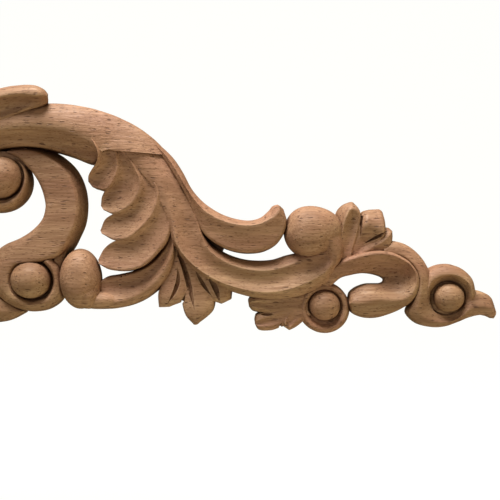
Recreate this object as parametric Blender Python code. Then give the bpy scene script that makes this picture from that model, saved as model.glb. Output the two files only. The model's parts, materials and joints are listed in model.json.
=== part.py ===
"""A carved wood applique: a mirrored pair of acanthus scrolls, pierced and cut in one piece with a flat back.

The pattern is laid out on a squared drawing, as a carver transfers one. A place on it is (column, row),
with columns counted to the right and rows counted downwards. Heights above the flat back are in
millimetres. The right half is laid out, and the left half is its mirror image.
"""

import math

import bmesh
import bpy
import numpy as np

# Driving dimensions, in metres
LENGTH = 0.400
BACK_MARGIN = 0.004

# The squared drawing
AXIS_COLUMN = -58
ORIGIN_ROW = 200
TIP_COLUMN = 500
SQUARE = LENGTH / 2 / (TIP_COLUMN - AXIS_COLUMN)
MM = 0.001

# How finely the blanks are cut
LONGEST_STEP = 30.0
LARGEST_TURN = math.radians(36)
EDGE_STEPS = 1
CREST_STEPS = 1
HOLLOW_STEPS = 2
HOLLOW_FROM = 2.2
DOME_SEGMENTS = 12
DOME_RINGS = 6
FLAT_ENOUGH = math.radians(5)
CREST_POWER = 1.8
EDGES = (3.0, 3.0)
CRISP = (1.3, 1.3)
SOFT = (2.0, 2.0)
WALL_DRAFT = [(0.0, 1.5, 1.5)]


def place(column, row, height):
    """A point of the drawing at a height in millimetres above the back, in metres."""
    return (
        (column - AXIS_COLUMN) * SQUARE,
        -height * MM,
        (ORIGIN_ROW - row) * SQUARE,
    )


def through(rows, marks, at):
    """Rows of numbers as one smooth curve through the marks, read at other marks."""
    slopes = np.gradient(rows, marks, axis=0)
    k = np.clip(np.searchsorted(marks, at, side="right") - 1, 0, len(marks) - 2)
    step = (marks[k + 1] - marks[k])[:, None]
    s = (at - marks[k])[:, None] / step
    start = rows[k] * (1 + 2 * s) * (1 - s) ** 2 + slopes[k] * step * s * (1 - s) ** 2
    end = rows[k + 1] * s * s * (3 - 2 * s) + slopes[k + 1] * step * s * s * (s - 1)
    return start + end


def rail_marks(rungs):
    """Distances along the middle of a ladder of rungs."""
    steps = np.diff(rungs, axis=0)
    hops = (np.hypot(steps[:, 0], steps[:, 1]) + np.hypot(steps[:, 2], steps[:, 3])) / 2
    return np.concatenate([[0.0], np.cumsum(hops)])


def stations(points, marks):
    """Marks to cut at: close together where the edges turn, and far apart where they run straight."""
    fine = np.linspace(0, marks[-1], 12 * len(marks))
    rails = through(points, marks, fine)
    cost = np.zeros(len(fine) - 1)
    sides = range(0, rails.shape[1], 2)
    for side in sides:
        steps = np.diff(rails[:, side : side + 2], axis=0)
        cost += np.hypot(*steps.T) / LONGEST_STEP / len(sides)
        heading = np.unwrap(np.arctan2(steps[:, 1], steps[:, 0]))
        turn = np.minimum(np.abs(np.diff(heading)), 0.2)
        cost[1:] += turn / LARGEST_TURN / len(sides)
    total = np.concatenate([[0.0], np.cumsum(cost)])
    count = max(3, math.ceil(total[-1]))
    return np.interp(np.linspace(0, total[-1], count + 1), total, fine)


def crossing(width, edges, crest, steps):
    """Distances across a band, from rail to rail: a round edge, the crest, and a round edge.

    steps: how many cuts are made between the crest and the second rail.
    """
    near, far = edges
    turn = 1 - np.cos(np.linspace(0, math.pi / 2, EDGE_STEPS + 1))
    top = np.clip(crest * width, 1.2 * near, width - 1.2 * far)
    return np.concatenate(
        [
            near * turn,
            np.linspace(near, top, CREST_STEPS + 1)[1:],
            np.linspace(top, width - far, steps + 1)[1:],
            width - far * turn[:-1][::-1],
        ]
    )


def relief(across, width, edges, form):
    """Heights across a band: a crest that falls to both rails, or dips in a cove beyond the crest."""
    height, crest, outer_fall, inner_fall, cove = form
    share = across / width
    crest = np.clip(crest, 1e-3, 1 - 1e-3)
    outer = np.clip((crest - share) / crest, 0, 1)
    inner = np.clip((share - crest) / (1 - crest), 0, 1)
    top = height - outer_fall * outer**CREST_POWER - inner_fall * inner**CREST_POWER
    top = top - cove * np.sin(math.pi * inner)
    for edge, from_rail in zip(edges, (across, width - across)):
        sunk = 1 - np.clip(from_rail / edge, 0, 1)
        top = top - edge * SQUARE / MM * (1 - np.sqrt(1 - sunk**2))
    return top


def mesh_object(name, collection, bm):
    """A mesh object made from a bmesh, with its faces turned outwards."""
    bmesh.ops.recalc_face_normals(bm, faces=bm.faces)
    if bm.calc_volume(signed=True) < 0:
        bmesh.ops.reverse_faces(bm, faces=bm.faces)
    mesh = bpy.data.meshes.new(name)
    bm.to_mesh(mesh)
    bm.free()
    obj = bpy.data.objects.new(name, mesh)
    collection.objects.link(obj)
    return obj


def band(
    name, collection, rungs, forms, edges=EDGES, spill=0.0, draft=WALL_DRAFT, undercut=0.0
):
    """A closed bar lofted between two rails, with walls that run past the back plane.

    rungs: rows of (column, row) on the first rail and (column, row) on the second.
    forms: rows of (share of the length, height, crest's share of the width, fall to the first rail,
    fall to the second rail, depth of the cove between the crest and the second rail).
    edges: how wide the two edges are rounded.
    spill: how far the second side runs on into its neighbour.
    draft: rows of (share of the length, spread of the first wall, and of the second, at the back).
    undercut: how far the end slopes in towards the back.
    """
    rungs = np.asarray(rungs, float)
    forms = np.asarray(forms, float)
    marks = rail_marks(rungs)
    at = stations(rungs, marks)
    rails = through(rungs, marks, at)
    feet = through(rungs, marks, at * (1 - undercut / marks[-1]))
    back = -(BACK_MARGIN / MM + 0.06 * len(collection.objects))
    draft = np.asarray(draft, float)
    shape = [np.interp(at / marks[-1], forms[:, 0], forms[:, c]) for c in range(1, 6)]
    shape += [np.interp(at / marks[-1], draft[:, 0], draft[:, c]) for c in (1, 2)]
    hollow = (forms[:, 4] + forms[:, 5]).max() > HOLLOW_FROM
    steps = HOLLOW_STEPS if hollow else CREST_STEPS
    bm = bmesh.new()
    loops = []
    for rail, foot, form in zip(rails, feet, np.stack(shape, axis=1)):
        first, second = rail[:2], rail[2:]
        width = max(np.linalg.norm(second - first), 0.4)
        aim = (second - first) / max(np.linalg.norm(second - first), 1e-6)
        width += spill
        rounds = [min(edge, 0.3 * width) for edge in edges]
        across = crossing(width, rounds, form[1], steps)
        heights = relief(across, width, rounds, form[:5])
        section = [
            (*(foot[:2] - aim * form[5]), back),
            *((*(first + aim * d), h) for d, h in zip(across, heights)),
            (*(foot[2:] + aim * (form[6] + spill)), back),
        ]
        loops.append([bm.verts.new(place(*point)) for point in section])
    for here, there in zip(loops, loops[1:]):
        for i in range(len(here)):
            j = (i + 1) % len(here)
            bm.faces.new((here[i], here[j], there[j], there[i]))
    bm.faces.new(loops[0])
    bm.faces.new(loops[-1][::-1])
    return mesh_object(name, collection, bm)


def lobe_rungs(root, tip, width, bow, root_share=0.4, widest=0.6, blunt=0.5, count=9):
    """Rungs of a leaf's lobe that swells from its root and closes at its tip, bent sideways by bow."""
    root, tip = np.asarray(root, float), np.asarray(tip, float)
    line = tip - root
    side = np.array([-line[1], line[0]]) / np.linalg.norm(line)
    middle = (root + tip) / 2 + side * bow
    rungs = []
    for u in np.linspace(0, 1, count):
        centre = root * (1 - u) ** 2 + middle * 2 * u * (1 - u) + tip * u * u
        heading = (middle - root) * (1 - u) + (tip - middle) * u
        left = np.array([-heading[1], heading[0]]) / np.linalg.norm(heading)
        if u < widest:
            swell = root_share + (1 - root_share) * math.sin(math.pi / 2 * u / widest)
        else:
            swell = (1 - ((u - widest) / (1 - widest)) ** 2.2) ** blunt
        half = max(width * swell, 0.8) / 2
        rungs.append((*(centre + left * half), *(centre - left * half)))
    return rungs


def dome(name, collection, column, row, across, tall, top, deep, turn=0.0):
    """A ball of its own half width, half height and depth, with its top at a height above the back."""
    bm = bmesh.new()
    bmesh.ops.create_uvsphere(
        bm, u_segments=DOME_SEGMENTS, v_segments=DOME_RINGS, radius=1.0
    )
    tilt = math.radians(turn)
    for vert in bm.verts:
        x, z, y = vert.co.x * across, vert.co.y * tall, vert.co.z * deep
        vert.co = place(
            column + x * math.cos(tilt) + z * math.sin(tilt),
            row - (z * math.cos(tilt) - x * math.sin(tilt)),
            top - deep + y,
        )
    return mesh_object(name, collection, bm)


def turned(name, collection, column, row, profile):
    """A round form about a centre. profile: rows of (radius, height), from the middle outwards."""
    back = -(BACK_MARGIN / MM + 0.06 * len(collection.objects))
    profile = [*profile, (profile[-1][0] + WALL_DRAFT[0][1], back)]
    bm = bmesh.new()
    loops = []
    for radius, height in profile:
        angles = np.linspace(0, 2 * math.pi, DOME_SEGMENTS, endpoint=False)
        ring = [(radius * math.cos(a), radius * math.sin(a)) for a in angles]
        loops.append([bm.verts.new(place(column + x, row + z, height)) for x, z in ring])
    for here, there in zip(loops, loops[1:]):
        for i in range(DOME_SEGMENTS):
            j = (i + 1) % DOME_SEGMENTS
            bm.faces.new((here[i], here[j], there[j], there[i]))
    bm.faces.new(loops[0])
    bm.faces.new(loops[-1][::-1])
    return mesh_object(name, collection, bm)


def ring_rungs(column, row, start, end, radii):
    """Rungs that turn about a centre. radii: rows of (share of the turn, outer radius, inner radius)."""
    radii = np.asarray(radii, float)
    rungs = []
    for u in np.linspace(0, 1, max(5, round(abs(end - start) / 30) + 1)):
        angle = math.radians(start + (end - start) * u)
        outer = np.interp(u, radii[:, 0], radii[:, 1])
        inner = np.interp(u, radii[:, 0], radii[:, 2])
        c, s = math.cos(angle), math.sin(angle)
        rungs.append(
            (column + outer * c, row - outer * s, column + inner * c, row - inner * s)
        )
    return rungs


def groove(name, collection, line, width, floors):
    """A V cut along a line, narrow at both ends. floors: heights of its bottom, from start to end."""
    line = np.asarray(line, float)
    hops = np.hypot(*np.diff(line, axis=0).T)
    marks = np.concatenate([[0.0], np.cumsum(hops)])
    at = stations(line, marks)
    points = through(line, marks, at)
    headings = np.gradient(points, axis=0)
    bottom = np.interp(at / marks[-1], np.linspace(0, 1, len(floors)), floors)
    bm = bmesh.new()
    loops = []
    for u, point, heading, low in zip(at / marks[-1], points, headings, bottom):
        side = np.array([-heading[1], heading[0]]) / np.linalg.norm(heading)
        half = width * max(math.sin(math.pi * u), 0.12)
        lift = 3.0 * (1 - math.sin(math.pi * u)) ** 3
        section = ((-half, low + 4), (half, low + 4), (0.0, low + lift))
        loops.append([bm.verts.new(place(*(point + side * d), h)) for d, h in section])
    for here, there in zip(loops, loops[1:]):
        for i in range(3):
            j = (i + 1) % 3
            bm.faces.new((here[i], here[j], there[j], there[i]))
    bm.faces.new(loops[0])
    bm.faces.new(loops[-1][::-1])
    return mesh_object(name, collection, bm)


# The arched stem, which unrolls from the upper eye and ends at the leaf's collar
UPPER_EYE = (0, 177)
ARCH_VOLUTE = [
    (0.00, 24.8, 23.6),
    (0.09, 26.5, 22.3),
    (0.18, 28.0, 22.0),
    (0.33, 31.0, 22.0),
    (0.47, 33.5, 22.0),
    (0.61, 38.0, 22.0),
    (0.76, 45.0, 22.5),
    (0.90, 55.0, 24.0),
    (1.00, 64.0, 26.5),
]
ARCH_RUNGS = [
    (18, 104.5, 19, 145.5),
    (48, 102.5, 45, 148),
    (75, 104.5, 70, 155),
    (98, 109.5, 88, 160),
    (120, 117.5, 96, 157),
    (141, 129, 98, 153.5),
    (157, 142.5, 100, 152),
    (165, 151, 102, 152.5),
]
ARCH_FORMS = [
    (0.00, 6.0, 0.5, 0.5, 0.5, 0),
    (0.10, 8.0, 0.5, 1.5, 1.2, 0),
    (0.20, 9.0, 0.5, 2.5, 2.0, 0),
    (0.33, 10.5, 0.5, 3.5, 3.0, 0),
    (0.48, 12.5, 0.48, 4.5, 4.5, 0),
    (0.62, 13.5, 0.45, 5.0, 5.5, 0),
    (0.80, 13.5, 0.45, 5.5, 5.0, 0),
    (0.95, 13.0, 0.50, 5.0, 3.0, 0),
    (1.00, 12.0, 0.50, 4.5, 2.5, 0),
]


def arched_stem(collection):
    volute = ring_rungs(*UPPER_EYE, 57, -250, ARCH_VOLUTE)
    band("arched_stem", collection, volute + ARCH_RUNGS, ARCH_FORMS)
    dome("upper_eye", collection, *UPPER_EYE, 21, 21, 12.5, 6.0)
    turned("upper_seat", collection, *UPPER_EYE, [(12, 4.6), (27, 4.6)])


# The flat scroll, from its horn under the arch to the volute round the lower eye
LOWER_EYE = (31.5, 280)
FLAT_RUNGS = [
    (5, 149.5, 4, 151.5),
    (20, 148.5, 16, 157.5),
    (36, 151, 26, 167),
    (53, 159.5, 34, 177),
    (67, 171.5, 41, 187),
    (75.5, 187, 45, 197),
    (79, 206, 46.5, 208),
    (77, 223, 43, 219),
    (70, 235.5, 34, 229),
    (60, 246, 19, 237.5),
    (48, 254, 2, 245),
    (34, 259.5, -10, 255),
    (18, 265, -15, 267),
    (11.5, 277, -14, 281),
    (14, 290, -6, 295),
    (23, 298.5, 9, 306.5),
    (35, 300, 31, 312.5),
    (46.5, 295, 48, 308.5),
    (52.5, 284, 59.5, 297),
    (52, 274, 60.5, 280),
    (46.5, 266, 55.5, 267),
    (41, 262, 45, 260),
]
FLAT_FORMS = [
    (0.00, 6.0, 0.30, 0.3, 0.3, 0),
    (0.15, 8.0, 0.15, 0.5, 0.5, 0.2),
    (0.30, 9.0, 0.12, 0.6, 0.5, 0.3),
    (0.42, 9.0, 0.40, 0.4, 1.5, 0),
    (0.52, 9.0, 0.60, 0.5, 4.0, 0),
    (0.64, 9.0, 0.55, 2.0, 3.5, 0),
    (0.76, 8.5, 0.60, 2.5, 2.0, 0),
    (0.90, 8.0, 0.55, 2.0, 1.5, 0),
    (1.00, 6.5, 0.50, 0.8, 0.5, 0),
]

FLAT_DRAFT = [(0, 14, 1), (0.15, 14, 1), (0.3, 9, 1), (0.5, 6, 1), (0.62, 3, 1), (1, 1, 1)]


def flat_scroll(collection):
    band("flat_scroll", collection, FLAT_RUNGS, FLAT_FORMS, draft=FLAT_DRAFT)
    dome("lower_eye", collection, *LOWER_EYE, 20.5, 19.5, 12.0, 6.0)
    turned("lower_seat", collection, *LOWER_EYE, [(12, 4.4), (24, 4.4)])


# The broad acanthus leaf: four hollow lobes that spring from the stem
LEAF_LOBES = {
    "leaf_lobe_1": [
        (94, 139, 112, 140),
        (98, 147, 117, 150),
        (99.5, 156, 118.5, 160),
        (97.5, 163.5, 119.5, 169),
        (92.5, 170, 117, 177),
        (88, 176, 106, 190),
        (87, 181, 92, 187),
    ],
    "leaf_lobe_2": [
        (117, 149, 127, 153),
        (118.5, 160, 137, 169),
        (119.5, 169, 143, 184),
        (117, 177, 139, 196),
        (106.5, 189.5, 127, 208.5),
        (101.5, 198, 114, 214),
        (100, 206, 103, 210),
    ],
    "leaf_lobe_3": [
        (127, 153, 148, 165),
        (137, 169, 157, 183),
        (143, 184, 160, 197),
        (139, 196, 155, 213),
        (127, 208.5, 143, 227.5),
        (114, 214.5, 127, 239),
        (105, 220, 115, 240.5),
        (99.5, 231, 101.5, 234),
    ],
    "leaf_lobe_4": [
        (148, 165, 163, 185),
        (157, 183, 168, 207),
        (160, 197, 169, 224),
        (155, 213, 167.5, 238),
        (143, 227.5, 158, 253),
        (129, 239, 142, 266.5),
        (113, 242.5, 123, 271),
        (103, 250, 108, 269.5),
        (97, 260.5, 98.5, 264.5),
    ],
}
LEAF_FORMS = [
    (0.00, 10.6, 0.06, 0.0, 0.0, 0.6),
    (0.30, 11.0, 0.06, 0.2, 0.2, 2.0),
    (0.65, 10.4, 0.08, 0.4, 0.2, 2.3),
    (0.85, 9.4, 0.10, 0.6, 0.5, 1.6),
    (1.00, 8.0, 0.30, 0.5, 0.5, 0.0),
]


def broad_leaf(collection):
    for name, rungs in LEAF_LOBES.items():
        band(name, collection, rungs, LEAF_FORMS, CRISP, spill=1.0)


# The main stem, from the collar down and round to the ball
STEM_BALL = (308, 231.5)
STEM_RUNGS = [
    (128, 150, 164, 151),
    (140, 164, 172, 165),
    (152, 178, 180, 180),
    (160, 193, 186, 193),
    (166, 211, 192, 206),
    (170, 230, 198, 220),
    (173, 244, 204, 236),
    (181, 257, 210.5, 244.5),
    (191, 267.5, 218, 250),
    (204, 277.5, 228.5, 255.5),
    (219, 286.5, 243, 260),
    (238, 294, 258, 261.5),
    (258, 298.5, 273, 260.5),
    (278, 299.5, 286, 256.5),
    (298, 296.5, 298, 254),
    (315, 290.5, 308, 253),
    (329, 281, 318, 251),
    (339, 267, 325, 246),
    (344, 251, 329, 240),
    (343, 236, 329, 233),
    (337.5, 222, 326, 226),
    (329, 213, 321, 220),
]
STEM_FORMS = [
    (0.00, 10.0, 0.4, 0.5, 0.5, 0),
    (0.15, 10.2, 0.3, 0.8, 0.8, 0.4),
    (0.30, 10.0, 0.14, 1.0, 0.4, 1.4),
    (0.50, 10.0, 0.13, 1.6, 0.2, 2.6),
    (0.66, 10.5, 0.15, 2.2, 0.5, 2.6),
    (0.80, 12.0, 0.25, 3.0, 1.0, 1.8),
    (0.92, 13.0, 0.5, 4.0, 0.5, 0),
    (1.00, 12.5, 0.5, 3.5, 0.5, 0),
]


def main_stem(collection):
    band("main_stem", collection, STEM_RUNGS, STEM_FORMS, (2.0, 3.0))
    dome("stem_ball", collection, *STEM_BALL, 26.5, 26, 15.5, 9.5)


# The long leaf that leaves the stem's outer edge and ends in a hook
HOOK_RUNGS = [
    (144, 131.5, 148, 141),
    (158, 143.5, 158, 152),
    (170.5, 156, 167, 164),
    (180, 170, 176, 178),
    (189, 187, 185, 194),
    (197, 197, 193, 212),
    (208, 206.5, 203, 233),
    (222, 214.5, 218, 245),
    (236, 219, 233, 251),
    (250, 220.5, 249, 253),
    (261, 217.5, 265, 250.5),
    (269, 211, 279, 241),
    (274, 205.5, 287, 222),
    (277.5, 204.5, 283.5, 209.5),
]
HOOK_FORMS = [
    (0.00, 7.5, 0.5, 1.0, 0.5, 0),
    (0.12, 9.0, 0.5, 1.5, 0.5, 0),
    (0.28, 10.6, 0.5, 1.6, 0.5, 0),
    (0.45, 11.2, 0.35, 2.5, 0.6, 0.5),
    (0.60, 11.8, 0.18, 3.2, 1.2, 0.8),
    (0.85, 12.2, 0.20, 3.2, 1.8, 0.8),
    (1.00, 11.5, 0.45, 1.0, 1.0, 0),
]


def hooked_leaf(collection):
    band("hooked_leaf", collection, HOOK_RUNGS, HOOK_FORMS)


# The branch that turns back under the broad leaf to a ball
BRANCH_BALL = (79, 277.5)
BRANCH_RUNGS = [
    (170, 225, 174, 236),
    (167.5, 240, 174.5, 256),
    (160, 252, 170.5, 270),
    (151, 261.5, 163, 283),
    (141, 268, 153, 293),
    (129, 272.5, 140, 301.5),
    (116, 275.5, 125, 307),
    (103.5, 278, 107, 309.5),
    (95, 284, 90, 309),
    (86, 288, 77, 304),
    (78, 286, 68, 295),
]
BRANCH_FORMS = [
    (0.00, 9.5, 0.75, 0.3, 0.5, 0),
    (0.12, 9.2, 0.70, 1.5, 0.8, 0),
    (0.35, 8.8, 0.75, 3.0, 1.2, 0),
    (0.60, 8.6, 0.82, 3.2, 1.5, 0),
    (0.80, 8.6, 0.82, 3.0, 1.8, 0),
    (1.00, 8.0, 0.60, 1.0, 2.0, 0),
]


def ball_branch(collection):
    band("ball_branch", collection, BRANCH_RUNGS, BRANCH_FORMS)
    dome("branch_ball", collection, *BRANCH_BALL, 21, 28.5, 14.0, 9.0, turn=4)


# The hanging leaf under the stem
HANGING_LOBES = {
    "hanging_lobe_1": [
        (170, 244, 176, 246),
        (168, 262, 180, 266),
        (162.5, 279, 182, 284),
        (157.5, 293, 180, 300),
        (158.5, 307, 168, 307.5),
    ],
    "hanging_lobe_2": [
        (175, 246, 180, 248),
        (181, 264, 191, 264),
        (183, 284, 203, 282),
        (181, 300, 213.5, 297),
        (184.5, 315, 211.5, 312),
        (193, 325, 196.5, 325),
    ],
    "hanging_lobe_3": [
        (180, 250, 186, 252),
        (191, 266, 202, 265),
        (203, 283, 219, 276),
        (213, 297, 230, 285),
        (221, 303.5, 229.5, 300),
    ],
}
HANGING_FORMS = [
    (0.0, 7.5, 0.5, 0.5, 0.5, 0),
    (0.5, 7.4, 0.5, 1.6, 1.6, 0),
    (0.9, 7.2, 0.5, 1.4, 1.4, 0),
    (1.0, 6.4, 0.5, 0.6, 0.6, 0),
]


def hanging_leaf(collection):
    for name, rungs in HANGING_LOBES.items():
        band(name, collection, rungs, HANGING_FORMS, SOFT)


# The long loop to the right of the ball, with its plump end, and the small volute that it unrolls from
SMALL_EYE = (326, 307)
LOOP_RUNGS = [
    (316, 284, 322, 292),
    (328, 270, 332, 286),
    (343, 259, 342, 278),
    (358, 254, 352.5, 275),
    (373, 251, 363, 273.3),
    (388, 251, 373, 274),
    (402, 256, 382, 276.5),
    (413, 264, 386, 278.8),
    (420, 276, 387, 280.7),
    (420, 289, 386, 282.8),
    (414, 300.5, 383, 284.2),
    (403, 309, 377, 284.6),
    (389, 315.5, 369, 285),
    (375, 319, 362, 287),
    (362, 317.8, 356, 290),
    (353, 312.8, 351.3, 294.5),
    (349.7, 306, 349.6, 301),
]
LOOP_FORMS = [
    (0.00, 6.5, 0.30, 0.8, 0.5, 0),
    (0.18, 8.6, 0.20, 1.6, 2.0, 1.2),
    (0.35, 9.0, 0.15, 1.6, 2.4, 1.8),
    (0.55, 9.2, 0.12, 1.8, 2.2, 2.2),
    (0.68, 9.4, 0.28, 2.6, 2.4, 1.0),
    (0.80, 9.8, 0.50, 3.8, 3.0, 0),
    (1.00, 8.6, 0.50, 1.0, 1.0, 0),
]
SMALL_CUP = (325.5, 308.7)
SMALL_CUP_PROFILE = [(8, 3.7), (16, 3.7), (17.5, 5.6), (20.5, 7.0), (23, 6.6), (24.6, 5.2)]


def long_loop(collection):
    band("long_loop", collection, LOOP_RUNGS, LOOP_FORMS)
    dome("small_eye", collection, *SMALL_EYE, 15.5, 15.2, 9.6, 5.0)
    turned("small_cup", collection, *SMALL_CUP, SMALL_CUP_PROFILE)


# The mitten-shaped leaf beside the small eye
MITTEN_LOBES = {
    "mitten_lobe_1": [
        (308, 292, 308, 312),
        (286, 294, 289, 314),
        (268, 295, 273, 315),
        (256, 295.5, 260, 312.5),
        (249.5, 299, 250, 307.5),
    ],
    "mitten_lobe_2": [
        (308, 300, 306, 320),
        (289, 309, 293, 323.5),
        (273, 313, 281, 328),
        (261, 313.5, 269, 331.5),
        (254.5, 318, 257, 328),
    ],
    "mitten_lobe_3": [
        (300, 300, 312, 316),
        (291, 308, 304, 322),
        (283, 317, 296.5, 328),
        (281.5, 326, 288, 331.5),
    ],
}
MITTEN_FORMS = [
    (0.0, 5.0, 0.4, 0.6, 0.6, 0),
    (0.5, 6.0, 0.35, 0.8, 1.6, 0),
    (0.85, 6.6, 0.35, 1.0, 1.4, 0.5),
    (1.0, 5.6, 0.5, 0.6, 0.6, 0),
]

# The upright leaf beside the ball: (root, tip, width, bow, height at the root, height at the tip)
UPRIGHT_LOBES = {
    "upright_lobe_1": ((345, 262), (354, 201.5), 26, 2, 7.2, 9.2),
    "upright_lobe_2": ((350, 262), (382, 208.5), 24, 4, 7.0, 8.8),
    "upright_lobe_3": ((350, 262), (394, 231), 19, 3, 6.6, 8.2),
}


def small_leaves(collection):
    for name, rungs in MITTEN_LOBES.items():
        band(name, collection, rungs, MITTEN_FORMS, SOFT)
    for name, (root, tip, width, bow, low, high) in UPRIGHT_LOBES.items():
        forms = [
            (0.0, low, 0.5, 0.8, 0.8, 0),
            (0.6, (low + high) / 2, 0.5, 1.5, 1.5, 0),
            (0.9, high, 0.5, 1.2, 1.2, 0),
            (1.0, high - 0.8, 0.5, 0.6, 0.6, 0),
        ]
        rungs = lobe_rungs(root, tip, width, bow, blunt=0.4)
        band(name, collection, rungs, forms, SOFT)


# The end of the scroll: a band round the loop, a volute with its eye, and the leaf tip
END_EYE = (449.5, 297.5)
END_RUNGS = [
    (388, 254, 384, 245),
    (396, 254, 393, 241),
    (405, 257, 404, 243),
    (413, 263, 415, 249.5),
    (419, 271.5, 425, 260),
    (421.5, 281, 431, 272),
    (420, 291, 432.5, 287),
    (414.5, 301.5, 432, 301),
    (410, 314, 435, 310),
    (420, 324.5, 440, 314),
    (433.5, 328, 446, 315.5),
    (447, 327.3, 453, 315),
    (460, 323, 462, 310),
    (473, 318, 472, 297),
    (483, 315.9, 484.5, 293),
    (491, 317, 494.5, 297.5),
    (497, 319.5, 500, 312),
]
END_FORMS = [
    (0.00, 8.6, 0.6, 0.6, 1.2, 0),
    (0.20, 8.6, 0.6, 0.6, 1.6, 0),
    (0.42, 8.4, 0.55, 1.0, 0.8, 0),
    (0.60, 7.6, 0.6, 2.2, 1.2, 0),
    (0.80, 7.4, 0.5, 1.8, 1.8, 0),
    (0.94, 6.8, 0.45, 1.4, 1.8, 0),
    (1.00, 5.6, 0.4, 0.5, 0.8, 0),
]
END_VOLUTE_RUNGS = [
    (426, 281, 430, 294),
    (429.5, 271.5, 433, 285),
    (437, 267.5, 440.5, 278.5),
    (447, 265.5, 450, 276.5),
    (457, 266.5, 459, 279),
    (466, 271.5, 466, 284),
    (474, 279, 469, 290),
    (477, 290, 468.5, 296),
    (478, 302, 467, 304),
]
END_VOLUTE_FORMS = [
    (0.0, 7.6, 0.5, 1.2, 1.2, 0),
    (0.4, 8.6, 0.5, 2.0, 1.6, 0),
    (0.8, 8.0, 0.4, 1.6, 1.8, 0),
    (1.0, 5.5, 0.4, 0.6, 0.6, 0),
]


def scroll_end(collection):
    band("scroll_end", collection, END_RUNGS, END_FORMS)
    band("end_volute", collection, END_VOLUTE_RUNGS, END_VOLUTE_FORMS)
    dome("end_eye", collection, *END_EYE, 14.7, 14.7, 10.2, 5.0)
    turned("end_seat", collection, 450.5, 293, [(10, 4.1), (22.5, 4.1)])


# The crest and the pendant at the middle, and the bud between the two volutes
CREST_RUNGS = [
    (-58, 112, -60, 134),
    (-38, 102, -38, 132),
    (-20, 95, -18, 129),
    (-2, 89.5, 2, 122.5),
    (16, 86.2, 18, 116),
    (31, 85.8, 31, 111),
    (41, 88, 41.5, 107.5),
    (46.5, 91.3, 46.5, 104.5),
    (49.5, 95.5, 49.5, 100),
]
CREST_FORMS = [
    (0.0, 14.0, 0.45, 2.0, 3.0, 0),
    (0.3, 15.5, 0.38, 3.0, 5.0, 0),
    (0.8, 15.8, 0.40, 3.5, 5.0, 0),
    (1.0, 14.0, 0.50, 1.5, 1.5, 0),
]
PENDANT_RUNGS = [
    (-58, 283, -62, 317),
    (-34, 289, -36, 322),
    (-14, 294, -14, 324),
    (2, 301, 4, 321.5),
    (14, 308, 15, 316.5),
    (20, 311, 21, 313),
]
PENDANT_FORMS = [
    (0.0, 8.0, 0.5, 1.0, 1.5, 0),
    (0.5, 7.4, 0.55, 1.0, 2.0, 0),
    (1.0, 5.5, 0.5, 0.6, 1.2, 0),
]
MIDDLE_LOBES = {
    "crest_middle": ((AXIS_COLUMN, 134), (AXIS_COLUMN, 63), 34, 0, 11.0, 15.0),
    "crest_side": ((-52, 128), (-22, 73), 24, 5, 10.0, 13.0),
    "pendant_middle": ((AXIS_COLUMN, 272), (AXIS_COLUMN, 343), 34, 0, 8.0, 8.2),
    "pendant_side": ((-52, 280), (-27, 333), 22, -4, 7.0, 7.0),
}


def middle(collection):
    band("crest_scroll", collection, CREST_RUNGS, CREST_FORMS, draft=[(0, -4, 0)], undercut=14.0)
    band("pendant_scroll", collection, PENDANT_RUNGS, PENDANT_FORMS)
    for name, (root, tip, width, bow, low, high) in MIDDLE_LOBES.items():
        forms = [
            (0.0, low, 0.5, 1.5, 1.5, 0),
            (0.6, high, 0.5, 2.5, 2.5, 0),
            (0.9, high - 0.6, 0.5, 1.8, 1.8, 0),
            (1.0, high - 2.0, 0.5, 0.6, 0.6, 0),
        ]
        rungs = lobe_rungs(root, tip, width, bow, root_share=0.6, blunt=0.6)
        band(name, collection, rungs, forms)
    bud = lobe_rungs((AXIS_COLUMN, 128), (AXIS_COLUMN, 281), 32, 0, 0.7, 0.42, 0.9)
    bud_forms = [
        (0.0, 10.5, 0.5, 3.0, 3.0, 0),
        (0.45, 13.0, 0.5, 5.0, 5.0, 0),
        (0.8, 10.0, 0.5, 2.5, 2.5, 0),
        (1.0, 7.0, 0.5, 0.5, 0.5, 0),
    ]
    band("bud_middle", collection, bud, bud_forms)


# The knife cuts: line, half width, and the heights of the cut's bottom
VEINS = {
    "hanging_vein_1": ([(178, 268), (177, 280), (172, 292), (165, 301)], 1.5, (6.2, 5.6, 5.8)),
    "hanging_vein_2": ([(177, 252), (186, 272), (192, 290), (195, 309)], 1.6, (6.4, 5.8, 6.0)),
    "hanging_vein_3": ([(205, 273), (213, 285), (219, 299)], 1.6, (6.0, 5.4, 5.8)),
    "upright_vein_1": ([(361.5, 214), (362, 225), (361, 238)], 1.4, (7.0, 6.4, 7.0)),
    "mitten_vein": ([(262, 315.5), (268, 315.5), (274, 315)], 1.2, (4.8, 4.4, 4.8)),
}


def veins(collection):
    for name, (line, width, floors) in VEINS.items():
        groove(name, collection, line, width, floors)


def add_twins(collection):
    """The mirror image of every blank that stands to the right of the axis."""
    for obj in list(collection.objects):
        if obj.name.endswith("_middle"):
            continue
        bm = bmesh.new()
        bm.from_mesh(obj.data)
        for vert in bm.verts:
            vert.co.x = -vert.co.x
        mesh_object(obj.name + "_left", collection, bm)


def helper_collection(name):
    collection = bpy.data.collections.new(name)
    bpy.context.scene.collection.children.link(collection)
    return collection


def hide_helpers(collection):
    for obj in collection.objects:
        obj.hide_render = True
        obj.display_type = "WIRE"


def back_cutter(collection):
    """The block behind the back plane, which leaves the back flat."""
    bpy.ops.mesh.primitive_cube_add(size=1.0)
    block = bpy.context.object
    block.name = "back_block"
    for owner in list(block.users_collection):
        owner.objects.unlink(block)
    collection.objects.link(block)
    deep = 0.03
    for vert in block.data.vertices:
        vert.co = (
            vert.co.x * 1.5 * LENGTH,
            (vert.co.y + 0.5) * deep,
            vert.co.z * LENGTH,
        )
    return block


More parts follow.
